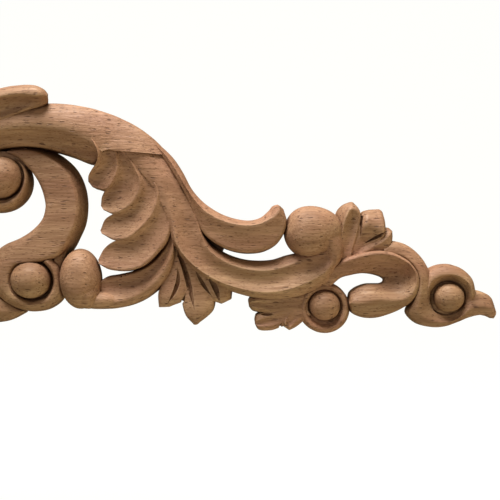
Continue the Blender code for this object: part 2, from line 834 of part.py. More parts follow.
def wood():
    """Pale hardwood, sanded and left bare."""
    material = bpy.data.materials.new("bare_wood")
    material.use_nodes = True
    shader = material.node_tree.nodes["Principled BSDF"]
    shader.inputs["Base Color"].default_value = (0.42, 0.235, 0.135, 1)
    shader.inputs["Roughness"].default_value = 0.62
    shader.inputs["Metallic"].default_value = 0.0
    return material


def add_boolean(obj, name, operation, operand):
    """A Boolean with one object, or with all the objects of a collection."""
    cut = obj.modifiers.new(name, "BOOLEAN")
    cut.operation = operation
    cut.solver = "MANIFOLD"
    if isinstance(operand, bpy.types.Collection):
        cut.operand_type = "COLLECTION"
        cut.collection = operand
    else:
        cut.object = operand
    return cut


def carved_applique():
    """The whole carving: blanks joined, veins cut, back planed, and the half mirrored."""
    blanks = helper_collection("blanks")
    cutters = helper_collection("cutters")
    for carve in (
        flat_scroll,
        arched_stem,
        broad_leaf,
        main_stem,
        hooked_leaf,
        ball_branch,
        hanging_leaf,
        long_loop,
        small_leaves,
        scroll_end,
        middle,
    ):
        carve(blanks)
    veins(cutters)
    add_twins(blanks)
    add_twins(cutters)
    finished = helper_collection("carved_applique")
    first = blanks.objects["flat_scroll"]
    carving = bpy.data.objects.new("carved_applique", first.data.copy())
    blanks.objects.unlink(first)
    finished.objects.link(carving)
    hide_helpers(blanks)
    hide_helpers(cutters)
    back = back_cutter(helper_collection("planes"))
    back.hide_render = True
    back.display_type = "WIRE"
    add_boolean(carving, "join", "UNION", blanks)
    add_boolean(carving, "veins", "DIFFERENCE", cutters)
    plain = carving.modifiers.new("plain_facets", "DECIMATE")
    plain.decimate_type = "DISSOLVE"
    plain.angle_limit = FLAT_ENOUGH
    add_boolean(carving, "flat_back", "DIFFERENCE", back)
    carving.data.materials.append(wood())
    return carving


for old in list(bpy.data.objects):
    bpy.data.objects.remove(old)
carved_applique()
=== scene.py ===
"""The looks of a carved wood applique: the carving at its full depth, in bare sanded hardwood.

The pattern is laid out on a squared drawing, as a carver transfers one. A place on it is (column, row),
with columns counted to the right and rows counted downwards. Heights above the flat back are in
millimetres. The right half is laid out, and the left half is its mirror image.
"""

import json
import math

import bmesh
import bpy
import numpy as np
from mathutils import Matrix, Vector, noise
from mathutils.bvhtree import BVHTree

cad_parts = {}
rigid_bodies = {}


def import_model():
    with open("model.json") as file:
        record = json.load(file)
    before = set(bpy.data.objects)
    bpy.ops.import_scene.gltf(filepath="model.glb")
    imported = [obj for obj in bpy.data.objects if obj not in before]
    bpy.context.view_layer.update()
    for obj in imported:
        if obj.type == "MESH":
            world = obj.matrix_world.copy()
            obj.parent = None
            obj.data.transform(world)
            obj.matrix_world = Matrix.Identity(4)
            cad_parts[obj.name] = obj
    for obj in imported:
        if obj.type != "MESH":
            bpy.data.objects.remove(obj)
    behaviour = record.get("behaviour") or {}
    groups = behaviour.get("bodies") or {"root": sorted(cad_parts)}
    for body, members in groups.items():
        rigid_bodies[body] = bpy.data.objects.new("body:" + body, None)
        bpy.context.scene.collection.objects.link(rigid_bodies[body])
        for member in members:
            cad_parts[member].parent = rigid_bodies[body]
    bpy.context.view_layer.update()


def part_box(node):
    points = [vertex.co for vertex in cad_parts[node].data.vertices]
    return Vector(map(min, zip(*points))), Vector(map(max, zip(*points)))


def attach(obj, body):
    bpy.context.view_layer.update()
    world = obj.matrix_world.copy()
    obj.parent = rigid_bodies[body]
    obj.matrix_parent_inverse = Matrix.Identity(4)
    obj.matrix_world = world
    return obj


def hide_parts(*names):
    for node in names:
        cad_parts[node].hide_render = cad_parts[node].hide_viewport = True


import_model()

# The squared drawing, fitted to the length of the blank
AXIS_COLUMN = -58
ORIGIN_ROW = 200
TIP_COLUMN = 500
LOW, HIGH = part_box("carved_applique")
LENGTH = round(HIGH[0] - LOW[0], 3)
SQUARE = LENGTH / 2 / (TIP_COLUMN - AXIS_COLUMN)
MM = 0.001
BACK_MARGIN = 4.0

# How finely the carving is cut
LONGEST_STEP = 3.0
LARGEST_TURN = math.radians(7)
EDGE_STEPS = 3
BEVEL_STEPS = 4
HOLLOW_STEPS = 9
DOME_SEGMENTS = 56
DOME_RINGS = 24
ARRIS_ANGLE = math.radians(40)

# How the edges are eased with sandpaper, in squares
EASED = (2.6, 2.6)
CRISP = (1.1, 1.1)
SOFT = (2.0, 2.0)
WALL_DRAFT = [(0.0, 1.5, 1.5)]
WALL_RISES = (0.0, 0.5, 0.78)


def place(column, row, height):
    """A point of the drawing at a height in millimetres above the back, in metres."""
    return (
        (column - AXIS_COLUMN) * SQUARE,
        -height * MM,
        (ORIGIN_ROW - row) * SQUARE,
    )


def through(rows, marks, at):
    """Rows of numbers as one smooth curve through the marks, read at other marks."""
    slopes = np.gradient(rows, marks, axis=0)
    k = np.clip(np.searchsorted(marks, at, side="right") - 1, 0, len(marks) - 2)
    step = (marks[k + 1] - marks[k])[:, None]
    s = (at - marks[k])[:, None] / step
    start = rows[k] * (1 + 2 * s) * (1 - s) ** 2 + slopes[k] * step * s * (1 - s) ** 2
    end = rows[k + 1] * s * s * (3 - 2 * s) + slopes[k + 1] * step * s * s * (s - 1)
    return start + end


def rail_marks(rungs):
    """Distances along the middle of a ladder of rungs."""
    steps = np.diff(rungs, axis=0)
    hops = (np.hypot(steps[:, 0], steps[:, 1]) + np.hypot(steps[:, 2], steps[:, 3])) / 2
    return np.concatenate([[0.0], np.cumsum(hops)])


def stations(points, marks):
    """Marks to cut at: close together where the edges turn, and further apart where they run straight."""
    fine = np.linspace(0, marks[-1], 40 * len(marks))
    rails = through(points, marks, fine)
    cost = np.zeros(len(fine) - 1)
    sides = range(0, rails.shape[1], 2)
    for side in sides:
        steps = np.diff(rails[:, side : side + 2], axis=0)
        cost += np.hypot(*steps.T) / LONGEST_STEP / len(sides)
        heading = np.unwrap(np.arctan2(steps[:, 1], steps[:, 0]))
        turn = np.minimum(np.abs(np.diff(heading)), 0.1)
        cost[1:] += turn / LARGEST_TURN / len(sides)
    total = np.concatenate([[0.0], np.cumsum(cost)])
    count = max(8, math.ceil(total[-1]))
    return np.interp(np.linspace(0, total[-1], count + 1), total, fine)


def section(width, edges, form, bulges, passes):
    """Distances and heights across a band: eased edges, two arrises, and the hollow between them."""
    first, near_share, near_height, middle, far_share, far_height, last = form
    near, far = edges
    near_arris = np.clip(near_share * width, 1.2 * near, 0.8 * width)
    far_arris = np.clip(far_share * width, near_arris + 0.08 * width, width - 1.2 * far)
    turn = 1 - np.cos(np.linspace(0, math.pi / 2, EDGE_STEPS + 1))
    across = np.concatenate(
        [
            near * turn,
            np.linspace(near, near_arris, BEVEL_STEPS + 1)[1:],
            np.linspace(near_arris, far_arris, HOLLOW_STEPS + 1)[1:],
            np.linspace(far_arris, width - far, BEVEL_STEPS + 1)[1:],
            width - far * turn[:-1][::-1],
        ]
    )
    plump = min(1.0, width / 20)
    near_bevel = np.clip(across / near_arris, 0, 1)
    hollow = np.clip((across - near_arris) / (far_arris - near_arris), 0, 1)
    far_bevel = np.clip((across - far_arris) / (width - far_arris), 0, 1)
    rise = first + (near_height - first) * near_bevel
    rise += bulges[0] * plump * 4 * near_bevel * (1 - near_bevel)
    dip = near_height * (1 - hollow) * (1 - 2 * hollow) + far_height * hollow * (2 * hollow - 1)
    dip += middle * 4 * hollow * (1 - hollow)
    fall = far_height + (last - far_height) * far_bevel
    fall += bulges[1] * plump * 4 * far_bevel * (1 - far_bevel)
    heights = np.where(across < near_arris, rise, np.where(across < far_arris, dip, fall))
    inside = heights[EDGE_STEPS:-EDGE_STEPS]
    for _ in range(passes):
        inside[1:-1] = inside[1:-1] / 2 + (inside[:-2] + inside[2:]) / 4
    for edge, from_rail in zip(edges, (across, width - across)):
        sunk = 1 - np.clip(from_rail / edge, 0, 1)
        heights = heights - edge * SQUARE / MM * (1 - np.sqrt(1 - sunk**2))
    return across, heights


def solid(name, collection, loops):
    """A closed mesh skinned over rings of points, with its faces turned outwards."""
    bm = bmesh.new()
    rings = [[bm.verts.new(point) for point in loop] for loop in loops]
    for here, there in zip(rings, rings[1:]):
        for i in range(len(here)):
            j = (i + 1) % len(here)
            bm.faces.new((here[i], here[j], there[j], there[i]))
    bm.faces.new(rings[0])
    bm.faces.new(rings[-1][::-1])
    return mesh_object(name, collection, bm)


def mesh_object(name, collection, bm):
    """A mesh object made from a bmesh, with its faces turned outwards."""
    bmesh.ops.recalc_face_normals(bm, faces=bm.faces)
    if bm.calc_volume(signed=True) < 0:
        bmesh.ops.reverse_faces(bm, faces=bm.faces)
    mesh = bpy.data.meshes.new(name)
    bm.to_mesh(mesh)
    bm.free()
    obj = bpy.data.objects.new(name, mesh)
    collection.objects.link(obj)
    return obj


def back_of(collection):
    """How far behind the back plane the next blank runs, a little different for each."""
    return -(BACK_MARGIN + 0.03 * len(collection.objects))


def band(
    name,
    collection,
    rungs,
    forms,
    edges=EASED,
    bulges=(0.0, 0.0),
    passes=1,
    spill=0.0,
    draft=WALL_DRAFT,
    undercut=0.0,
):
    """A closed bar lofted between two rails, with walls that run past the back plane.

    rungs: rows of (column, row) on the first rail and (column, row) on the second.
    forms: rows of (share of the length, height of the first rail, place across and height of the near
    arris, height of the hollow, place across and height of the far arris, height of the second rail).
    edges: how wide the two edges are eased.
    bulges: how far the two bevels swell.
    passes: how often the arrises are sanded over.
    spill: how far the second side runs on under its neighbour.
    draft: rows of (share of the length, spread of the first wall, and of the second, at the back).
    undercut: how far the end slopes in towards the back.
    """
    rungs = np.asarray(rungs, float)
    forms = np.asarray(forms, float)
    draft = np.asarray(draft, float)
    marks = rail_marks(rungs)
    at = stations(rungs, marks)
    share = at / marks[-1]
    rails = through(rungs, marks, at)
    feet = through(rungs, marks, at * (1 - undercut / marks[-1]))
    shapes = through(forms[:, 1:], forms[:, 0], share)
    spread = [np.interp(share, draft[:, 0], draft[:, c]) for c in (1, 2)]
    back = back_of(collection)
    loops = []
    for rail, foot, form, first_foot, second_foot in zip(rails, feet, shapes, *spread):
        first, second = rail[:2], rail[2:]
        width = max(np.linalg.norm(second - first), 0.4)
        aim = (second - first) / max(np.linalg.norm(second - first), 1e-6)
        width += spill
        rounds = [min(edge, 0.3 * width) for edge in edges]
        across, heights = section(width, rounds, form, bulges, passes)
        face = [np.array((*(first + aim * d), h)) for d, h in zip(across, heights)]
        near_foot = np.array((*(foot[:2] - aim * first_foot), back))
        far_foot = np.array((*(foot[2:] + aim * (second_foot + spill)), back))
        near_wall = [near_foot + (face[0] - near_foot) * rise for rise in WALL_RISES]
        far_wall = [far_foot + (face[-1] - far_foot) * rise for rise in WALL_RISES[::-1]]
        loops.append([place(*point) for point in (*near_wall, *face, *far_wall)])
    return solid(name, collection, loops)


def lobe_rungs(root, tip, width, bow, root_share=0.4, widest=0.6, blunt=0.5, count=13):
    """Rungs of a leaf's lobe that swells from its root and closes at its tip, bent sideways by bow."""
    root, tip = np.asarray(root, float), np.asarray(tip, float)
    line = tip - root
    side = np.array([-line[1], line[0]]) / np.linalg.norm(line)
    middle = (root + tip) / 2 + side * bow
    rungs = []
    for u in np.linspace(0, 1, count):
        centre = root * (1 - u) ** 2 + middle * 2 * u * (1 - u) + tip * u * u
        heading = (middle - root) * (1 - u) + (tip - middle) * u
        left = np.array([-heading[1], heading[0]]) / np.linalg.norm(heading)
        if u < widest:
            swell = root_share + (1 - root_share) * math.sin(math.pi / 2 * u / widest)
        else:
            swell = (1 - ((u - widest) / (1 - widest)) ** 2.2) ** blunt
        half = max(width * swell, 0.8) / 2
        rungs.append((*(centre + left * half), *(centre - left * half)))
    return rungs


def dome(name, collection, column, row, across, tall, top, deep, turn=0.0, full=2.0):
    """A ball of its own half height and depth, with its top at a height above the back.

    across: its half widths to the left and to the right.
    full: how full its shoulders are, where 2 is a true ball.
    """
    bm = bmesh.new()
    bmesh.ops.create_uvsphere(
        bm, u_segments=DOME_SEGMENTS, v_segments=DOME_RINGS, radius=1.0
    )
    tilt = math.radians(turn)
    left, right = across
    for vert in bm.verts:
        x = vert.co.x * (right if vert.co.x > 0 else left)
        z = vert.co.y * tall
        flat = min(1.0, math.hypot(vert.co.x, vert.co.y))
        y = math.copysign((1 - flat**full) ** 0.5, vert.co.z) * deep
        vert.co = place(
            column + x * math.cos(tilt) + z * math.sin(tilt),
            row - (z * math.cos(tilt) - x * math.sin(tilt)),
            top - deep + y,
        )
    return mesh_object(name, collection, bm)


def turned(name, collection, column, row, profile):
    """A round form about a centre. profile: rows of (radius, height), from the middle outwards."""
    back = back_of(collection)
    profile = np.asarray(profile, float)
    marks = np.concatenate([[0.0], np.cumsum(np.hypot(*np.diff(profile, axis=0).T))])
    curve = through(profile, marks, np.linspace(0, marks[-1], 6 * len(profile)))
    rings = [*curve, (profile[-1][0] + WALL_DRAFT[0][1], back)]
    angles = np.linspace(0, 2 * math.pi, DOME_SEGMENTS, endpoint=False)
    loops = [
        [place(column + r * math.cos(a), row + r * math.sin(a), height) for a in angles]
        for r, height in rings
    ]
    return solid(name, collection, loops)


def ring_rungs(column, row, start, end, radii):
    """Rungs that turn about a centre. radii: rows of (share of the turn, outer radius, inner radius)."""
    radii = np.asarray(radii, float)
    rungs = []
    for u in np.linspace(0, 1, max(5, round(abs(end - start) / 30) + 1)):
        angle = math.radians(start + (end - start) * u)
        outer = np.interp(u, radii[:, 0], radii[:, 1])
        inner = np.interp(u, radii[:, 0], radii[:, 2])
        c, s = math.cos(angle), math.sin(angle)
        rungs.append(
            (column + outer * c, row - outer * s, column + inner * c, row - inner * s)
        )
    return rungs


# The arched stem, which unrolls from the upper eye and ends at the leaf's collar
UPPER_EYE = (-1.5, 177)
ARCH_VOLUTE = [
    (0.00, 24.8, 23.6),
    (0.09, 26.5, 22.3),
    (0.18, 28.0, 22.0),
    (0.33, 31.0, 22.0),
    (0.47, 33.5, 22.0),
    (0.61, 38.0, 22.0),
    (0.76, 45.0, 22.5),
    (0.90, 55.0, 24.0),
    (1.00, 64.0, 26.5),
]
ARCH_RUNGS = [
    (18, 104.5, 19, 145.5),
    (48, 102.5, 45, 148),
    (75, 104.5, 70, 155),
    (98, 109.5, 87, 161.5),
    (120, 117.5, 94.5, 162),
    (141, 129, 98.5, 156),
    (157, 142.5, 100.5, 152),
    (167, 155, 102, 150.5),
]
ARCH_FORMS = [
    (0.00, 5.0, 0.50, 6.0, 5.6, 0.95, 5.2, 5.0),
    (0.10, 6.0, 0.55, 8.0, 7.2, 0.95, 6.6, 6.2),
    (0.20, 6.8, 0.60, 9.0, 8.0, 0.95, 7.2, 6.8),
    (0.33, 7.2, 0.65, 10.5, 9.2, 0.95, 8.0, 7.6),
    (0.48, 7.2, 0.62, 12.2, 9.8, 0.95, 8.0, 7.4),
    (0.62, 7.4, 0.57, 13.2, 10.0, 0.95, 7.8, 7.2),
    (0.78, 8.4, 0.57, 13.0, 10.0, 0.95, 7.8, 7.2),
    (0.85, 8.2, 0.64, 12.4, 9.6, 0.95, 7.6, 7.0),
    (0.90, 8.0, 0.78, 11.8, 9.8, 0.95, 8.2, 7.6),
    (0.94, 8.2, 0.88, 11.8, 11.3, 0.97, 10.3, 9.9),
    (1.00, 8.6, 0.90, 11.9, 11.6, 0.97, 11.2, 10.8),
]


def arched_stem(collection):
    volute = ring_rungs(*UPPER_EYE, 57, -250, ARCH_VOLUTE)
    band("arched_stem", collection, volute + ARCH_RUNGS, ARCH_FORMS, bulges=(1.8, 0.0), passes=3)
    dome("upper_eye", collection, *UPPER_EYE, (21.5, 21.5), 21.5, 12.5, 6.0)
    turned("upper_seat", collection, *UPPER_EYE, [(12, 5.6), (20, 5.6), (27, 5.4)])


# The flat scroll, from its horn under the arch to the volute round the lower eye
LOWER_EYE = (29, 280)
FLAT_RUNGS = [
    (5, 149.5, 4, 151.5),
    (20, 148.5, 16, 157.5),
    (36, 151, 26, 167),
    (53, 159.5, 34, 177),
    (67, 171.5, 39.5, 187),
    (75.5, 187, 43, 197),
    (79, 206, 44.3, 208),
    (77, 223, 41, 219),
    (71.5, 236, 32.5, 228.5),
    (65.5, 247.5, 19, 237.5),
    (57, 256.5, 2, 245),
    (40, 262, -10, 255),
    (18, 265, -15, 267),
    (11.5, 277, -14, 281),
    (14, 290, -6, 295),
    (23, 298.5, 9, 306.5),
    (35, 300, 31, 312.5),
    (46.5, 295, 48, 308.5),
    (51, 284, 60, 297),
    (50.5, 275, 61, 280),
    (46.5, 267.5, 58, 267),
    (42, 262.5, 50.5, 258.5),
]
FLAT_FORMS = [
    (0.00, 5.6, 0.20, 6.0, 6.0, 0.80, 6.0, 5.8),
    (0.15, 7.6, 0.12, 8.1, 8.0, 0.88, 7.8, 7.4),
    (0.30, 8.4, 0.10, 9.0, 8.9, 0.90, 8.8, 8.2),
    (0.45, 8.2, 0.10, 9.0, 8.9, 0.80, 8.6, 6.8),
    (0.58, 7.6, 0.14, 8.8, 8.8, 0.62, 8.2, 5.2),
    (0.68, 6.8, 0.20, 8.6, 8.6, 0.60, 8.0, 5.6),
    (0.80, 6.6, 0.30, 8.2, 8.2, 0.70, 7.6, 6.0),
    (0.90, 6.8, 0.30, 8.2, 8.0, 0.70, 7.6, 6.2),
    (1.00, 8.0, 0.40, 9.0, 8.8, 0.60, 8.4, 7.4),
]
FLAT_DRAFT = [(0, 12, 1), (0.15, 12, 1), (0.3, 7, 1), (0.5, 7, 1), (0.6, 9, 1), (0.7, 2, 1), (1, 1, 1)]


SCROLL_WEB = [(66, 249, 54, 249), (64, 256, 52, 257), (61.5, 264, 53, 265), (60, 270, 54, 271)]
WEB_FORMS = [(0, 5.8, 0.3, 6.4, 6.6, 0.7, 7, 7), (1, 5.8, 0.3, 6.2, 6.4, 0.7, 6.6, 6.6)]


def flat_scroll(collection):
    band("flat_scroll", collection, FLAT_RUNGS, FLAT_FORMS, draft=FLAT_DRAFT)
    band("scroll_web", collection, SCROLL_WEB, WEB_FORMS, CRISP)
    dome("lower_eye", collection, *LOWER_EYE, (20.5, 20.5), 19.2, 12.2, 6.0)
    turned("lower_seat", collection, *LOWER_EYE, [(12, 5.2), (18, 5.2), (24, 5.0)])


# The broad acanthus leaf: four hollow lobes that spring from the stem. Each one's ridge comes first
LEAF_LOBES = {
    "leaf_lobe_1": [
        (112, 140, 93, 140),
        (117, 150, 97.5, 147.5),
        (118.5, 160, 99.5, 156),
        (119.5, 169, 97.5, 163.5),
        (117, 177, 92.5, 170),
        (106, 190, 88, 176),
        (92, 187, 87, 181),
    ],
    "leaf_lobe_2": [
        (122, 143, 113, 140),
        (127, 153, 117, 149),
        (137, 169, 118.5, 160),
        (143, 184, 119.5, 169),
        (139, 196, 117, 177),
        (127, 208.5, 106.5, 189.5),
        (114, 214, 101.5, 198),
        (103, 210, 100, 206),
    ],
    "leaf_lobe_3": [
        (148, 165, 127, 153),
        (157, 183, 137, 169),
        (160, 197, 143, 184),
        (155, 213, 139, 196),
        (143, 227.5, 127, 208.5),
        (127, 239, 114, 214.5),
        (115, 240.5, 105, 220),
        (101.5, 234, 99.5, 231),
    ],
    "leaf_lobe_4": [
        (160, 181, 148, 165),
        (169, 205, 157, 183),
        (171.5, 223, 160, 197),
        (169, 238, 155, 213),
        (158, 253, 143, 227.5),
        (142, 266.5, 129, 239),
        (123, 271, 113, 242.5),
        (108, 269.5, 103, 250),
        (98.5, 264.5, 97, 260.5),
    ],
}
LEAF_FORMS = [
    (0.00, 9.6, 0.14, 10.0, 10.0, 0.86, 10.0, 10.1),
    (0.22, 10.4, 0.14, 10.8, 9.9, 0.80, 9.8, 10.5),
    (0.50, 10.3, 0.12, 10.7, 8.9, 0.78, 8.8, 10.3),
    (0.66, 10.2, 0.10, 10.3, 8.3, 0.82, 8.0, 9.6),
    (0.82, 9.2, 0.10, 9.4, 7.8, 0.88, 7.5, 8.2),
    (1.00, 7.6, 0.20, 8.0, 7.2, 0.80, 6.8, 6.4),
]
FIRST_LOBE_FORMS = [
    (0.00, 10.6, 0.10, 10.7, 10.6, 0.84, 11.2, 12.7),
    (0.25, 10.6, 0.10, 10.9, 10.0, 0.80, 10.8, 12.9),
    (0.50, 10.4, 0.10, 10.8, 9.0, 0.80, 9.8, 12.0),
    (0.80, 9.3, 0.10, 9.6, 8.2, 0.88, 8.4, 9.2),
    (1.00, 7.6, 0.20, 8.0, 7.4, 0.80, 7.0, 6.8),
]


def broad_leaf(collection):
    for name, rungs in LEAF_LOBES.items():
        forms = np.array(FIRST_LOBE_FORMS if name == "leaf_lobe_1" else LEAF_FORMS)
        if name == "leaf_lobe_4":
            forms[:3, 1] = 9.6
            forms[:3, 3] = 10.3
        spill = 0.0 if name == "leaf_lobe_1" else 1.0
        band(name, collection, rungs, forms, (0.7, 0.7), passes=2, spill=spill)


# The main stem, from the collar down and round to the ball
STEM_BALL = (309, 232)
STEM_RUNGS = [
    (116, 147, 164, 150),
    (130, 161, 172, 165),
    (143, 175, 180, 180),
    (155, 191, 186, 193),
    (164, 210, 192, 206),
    (170, 230, 198, 220),
    (173, 244, 204, 236),
    (181, 257, 210.5, 244.5),
    (191, 267.5, 218, 250),
    (204, 277.5, 228.5, 255.5),
    (219, 286.5, 243, 260),
    (238, 294, 258, 261.5),
    (258, 298.5, 273, 260.5),
    (278, 299.5, 286, 256.5),
    (298, 296.5, 298, 254),
    (315, 290.5, 308, 253),
    (329, 281, 318, 251),
    (339, 267, 325, 246),
    (344, 251, 329, 240),
    (343, 236, 329, 233),
    (337.5, 222, 326, 226),
    (329, 213, 321, 220),
]
STEM_FORMS = [
    (0.00, 10.2, 0.20, 10.7, 10.4, 0.80, 8.6, 7.6),
    (0.05, 10.2, 0.24, 10.7, 10.4, 0.85, 9.0, 8.2),
    (0.15, 10.2, 0.26, 10.8, 10.1, 0.94, 8.9, 8.7),
    (0.22, 10.2, 0.22, 10.9, 9.6, 0.94, 9.0, 8.8),
    (0.30, 9.4, 0.14, 11.0, 8.8, 0.94, 9.4, 9.2),
    (0.42, 7.8, 0.12, 10.4, 8.6, 0.80, 9.8, 6.4),
    (0.55, 7.0, 0.16, 10.0, 8.2, 0.74, 9.6, 5.6),
    (0.68, 7.0, 0.20, 10.4, 8.4, 0.76, 9.8, 6.2),
    (0.78, 7.4, 0.30, 11.0, 9.4, 0.85, 10.0, 8.6),
    (0.86, 7.2, 0.36, 10.8, 10.0, 0.80, 9.8, 9.2),
    (0.91, 6.8, 0.45, 9.4, 9.2, 0.80, 9.0, 8.6),
    (0.95, 6.0, 0.50, 7.6, 7.6, 0.80, 7.6, 7.4),
    (1.00, 5.0, 0.50, 6.0, 6.0, 0.80, 6.0, 5.8),
]


# The neck that carries the stem's outer rim up into the ball
NECK_RUNGS = [
    (331, 214.5, 314, 217),
    (338.5, 223, 318, 225),
    (343.4, 236, 321, 234),
    (344.6, 250, 325, 243),
    (341, 263, 326, 252),
    (334.5, 273.5, 324, 262),
]
NECK_FORMS = [
    (0.00, 6.6, 0.30, 9.0, 10.6, 0.80, 11.6, 12.0),
    (0.25, 7.4, 0.28, 10.4, 12.0, 0.80, 13.2, 13.2),
    (0.50, 7.6, 0.26, 11.0, 12.2, 0.80, 12.8, 12.4),
    (0.75, 7.6, 0.26, 11.0, 11.4, 0.80, 11.0, 10.4),
    (1.00, 6.8, 0.28, 9.6, 9.4, 0.80, 8.8, 8.4),
]


def main_stem(collection):
    band("main_stem", collection, STEM_RUNGS, STEM_FORMS, (0.8, 2.0))
    band("stem_neck", collection, NECK_RUNGS, NECK_FORMS, (1.6, 0.6), passes=3)
    dome("stem_ball", collection, *STEM_BALL, (25, 35), 26.4, 14.8, 9.4, turn=-6, full=2.2)


# The long leaf that leaves the stem's outer edge and ends in a hook
HOOK_RUNGS = [
    (144, 131.5, 148, 141),
    (158, 143.5, 158, 152),
    (170.5, 156, 167, 164),
    (180, 170, 176, 178),
    (189, 187, 185, 194),
    (197, 197, 193, 212),
    (208, 206.5, 203, 233),
    (222, 214.5, 218, 245),
    (236, 219, 233, 251),
    (250, 220.5, 249, 253),
    (261, 217.5, 265, 250.5),
    (269, 211, 279, 241),
    (274, 205.5, 287, 222),
    (277.5, 204.5, 283.5, 209.5),
]
HOOK_FORMS = [
    (0.00, 6.8, 0.45, 8.6, 8.6, 0.90, 8.6, 8.4),
    (0.12, 7.4, 0.40, 9.6, 9.5, 0.90, 9.3, 9.1),
    (0.28, 8.8, 0.40, 11.0, 10.8, 0.90, 10.4, 10.2),
    (0.45, 8.2, 0.26, 11.2, 10.0, 0.92, 9.2, 9.0),
    (0.60, 8.4, 0.19, 11.6, 10.2, 0.92, 9.9, 9.6),
    (0.85, 8.8, 0.20, 12.2, 11.0, 0.92, 10.4, 10.0),
    (1.00, 9.8, 0.40, 11.8, 11.4, 0.90, 11.0, 10.6),
]


# The low web that closes the narrow start of the slot between the hooked leaf and the stem
SLOT_WEB = [(203, 230, 200, 238), (211, 238, 206, 246), (219, 244, 214, 252), (224, 247, 221, 254)]
SLOT_FORMS = [(0, 3.0, 0.3, 3.0, 3.0, 0.7, 3.0, 3.0), (1, 2.6, 0.3, 2.6, 2.6, 0.7, 2.6, 2.6)]


def hooked_leaf(collection):
    band("hooked_leaf", collection, HOOK_RUNGS, HOOK_FORMS)
    band("slot_web", collection, SLOT_WEB, SLOT_FORMS, CRISP)


# The branch that turns back under the broad leaf to a ball
BRANCH_BALL = (78.8, 279.2)
BRANCH_RUNGS = [
    (170, 225, 174, 236),
    (167.5, 240, 174.5, 256),
    (160, 252, 170.5, 270),
    (151, 261.5, 163, 283),
    (141, 268, 153, 293),
    (129, 272.5, 140, 301.5),
    (116, 275.5, 125, 307),
    (103.5, 278, 107, 309.5),
    (95, 284, 90, 309),
    (86, 288, 77, 304),
    (78, 286, 68, 295),
]
BRANCH_FORMS = [
    (0.00, 8.4, 0.08, 8.6, 8.8, 0.62, 9.5, 8.6),
    (0.12, 7.6, 0.08, 7.8, 8.0, 0.60, 9.4, 8.0),
    (0.35, 6.6, 0.08, 6.8, 6.8, 0.66, 8.9, 6.8),
    (0.60, 6.2, 0.08, 6.4, 6.3, 0.74, 8.5, 6.4),
    (0.80, 6.0, 0.08, 6.2, 6.2, 0.76, 8.8, 6.4),
    (1.00, 6.0, 0.10, 6.2, 6.4, 0.72, 8.6, 6.4),
]


def ball_branch(collection):
    band("ball_branch", collection, BRANCH_RUNGS, BRANCH_FORMS, bulges=(0.0, 0.5), passes=3)
    dome("branch_ball", collection, *BRANCH_BALL, (21, 21), 30.5, 13.6, 9.0, turn=-2, full=2.8)
    dome("branch_heel", collection, 87, 293.5, (23, 12), 16.2, 12.2, 7.4, full=2.4)
    dome("branch_toe", collection, 96, 300.8, (22, 24), 9.0, 9.7, 4.6)


# The hanging leaf under the stem
HANGING_LOBES = {
    "hanging_lobe_1": [
        (170, 244, 180, 246),
        (168, 262, 188, 266),
        (162.5, 279, 192, 284),
        (157.5, 293, 184, 300),
        (157.5, 308, 169, 307.5),
    ],
    "hanging_lobe_2": [
        (174, 246, 184, 248),
        (178, 264, 196, 264),
        (182, 284, 208, 282),
        (181, 300, 213.5, 297),
        (184.5, 315, 211.5, 312),
        (193, 325.5, 196.5, 325.5),
    ],
    "hanging_lobe_3": [
        (178, 250, 187, 252),
        (186, 268, 203, 265),
        (198, 286, 220, 276),
        (210, 300, 231, 286),
        (221, 304.5, 230.5, 300),
    ],
}
HANGING_FORMS = [
    (0.0, 7.0, 0.30, 7.4, 7.4, 0.70, 7.4, 7.0),
    (0.5, 6.7, 0.25, 7.2, 7.5, 0.75, 7.2, 6.7),
    (0.9, 6.2, 0.25, 7.0, 7.3, 0.75, 7.0, 6.2),
    (1.0, 5.6, 0.30, 6.2, 6.4, 0.70, 6.2, 5.6),
]


def hanging_leaf(collection):
    for name, rungs in HANGING_LOBES.items():
        band(name, collection, rungs, HANGING_FORMS, SOFT)


# The long loop to the right of the ball, with its plump end, and the small volute that it unrolls from
SMALL_EYE = (325.6, 306.2)
LOOP_RUNGS = [
    (316, 284, 322, 292),
    (328, 270, 332, 286),
    (343, 259, 342, 278),
    (358, 254, 352.5, 275),
    (373, 251, 363, 273.3),
    (388, 251, 373, 274),
    (402, 256, 382, 276.5),
    (413, 264, 386, 278.8),
    (420, 276, 387, 280.7),
    (420, 289, 386, 282.8),
    (414, 300.5, 383, 284.2),
    (403, 309, 377, 284.6),
    (389, 315.5, 369, 285),
    (375, 319, 362, 287),
    (362, 317.8, 356, 290),
    (353, 312.8, 351.3, 294.5),
    (349.7, 306, 349.6, 301),
]
LOOP_FORMS = [
    (0.00, 5.8, 0.30, 6.8, 6.4, 0.90, 6.0, 5.8),
    (0.12, 7.4, 0.25, 8.8, 8.4, 0.90, 7.8, 7.0),
    (0.28, 8.2, 0.22, 9.2, 8.0, 0.90, 7.4, 6.6),
    (0.44, 8.6, 0.16, 9.6, 5.8, 0.94, 5.2, 4.8),
    (0.56, 8.6, 0.12, 9.6, 4.6, 0.94, 4.2, 4.2),
    (0.66, 8.0, 0.24, 9.4, 6.4, 0.92, 5.0, 4.8),
    (0.78, 6.4, 0.48, 10.0, 8.8, 0.90, 7.2, 6.6),
    (0.92, 5.8, 0.48, 9.8, 9.2, 0.88, 7.4, 6.6),
    (1.00, 6.4, 0.50, 8.6, 8.4, 0.85, 7.8, 7.4),
]
SMALL_CUP = (325.5, 308.7)
SMALL_CUP_PROFILE = [(8, 5.0), (14, 5.0), (16.5, 5.3), (19.5, 6.8), (23, 6.8), (25.4, 5.4)]


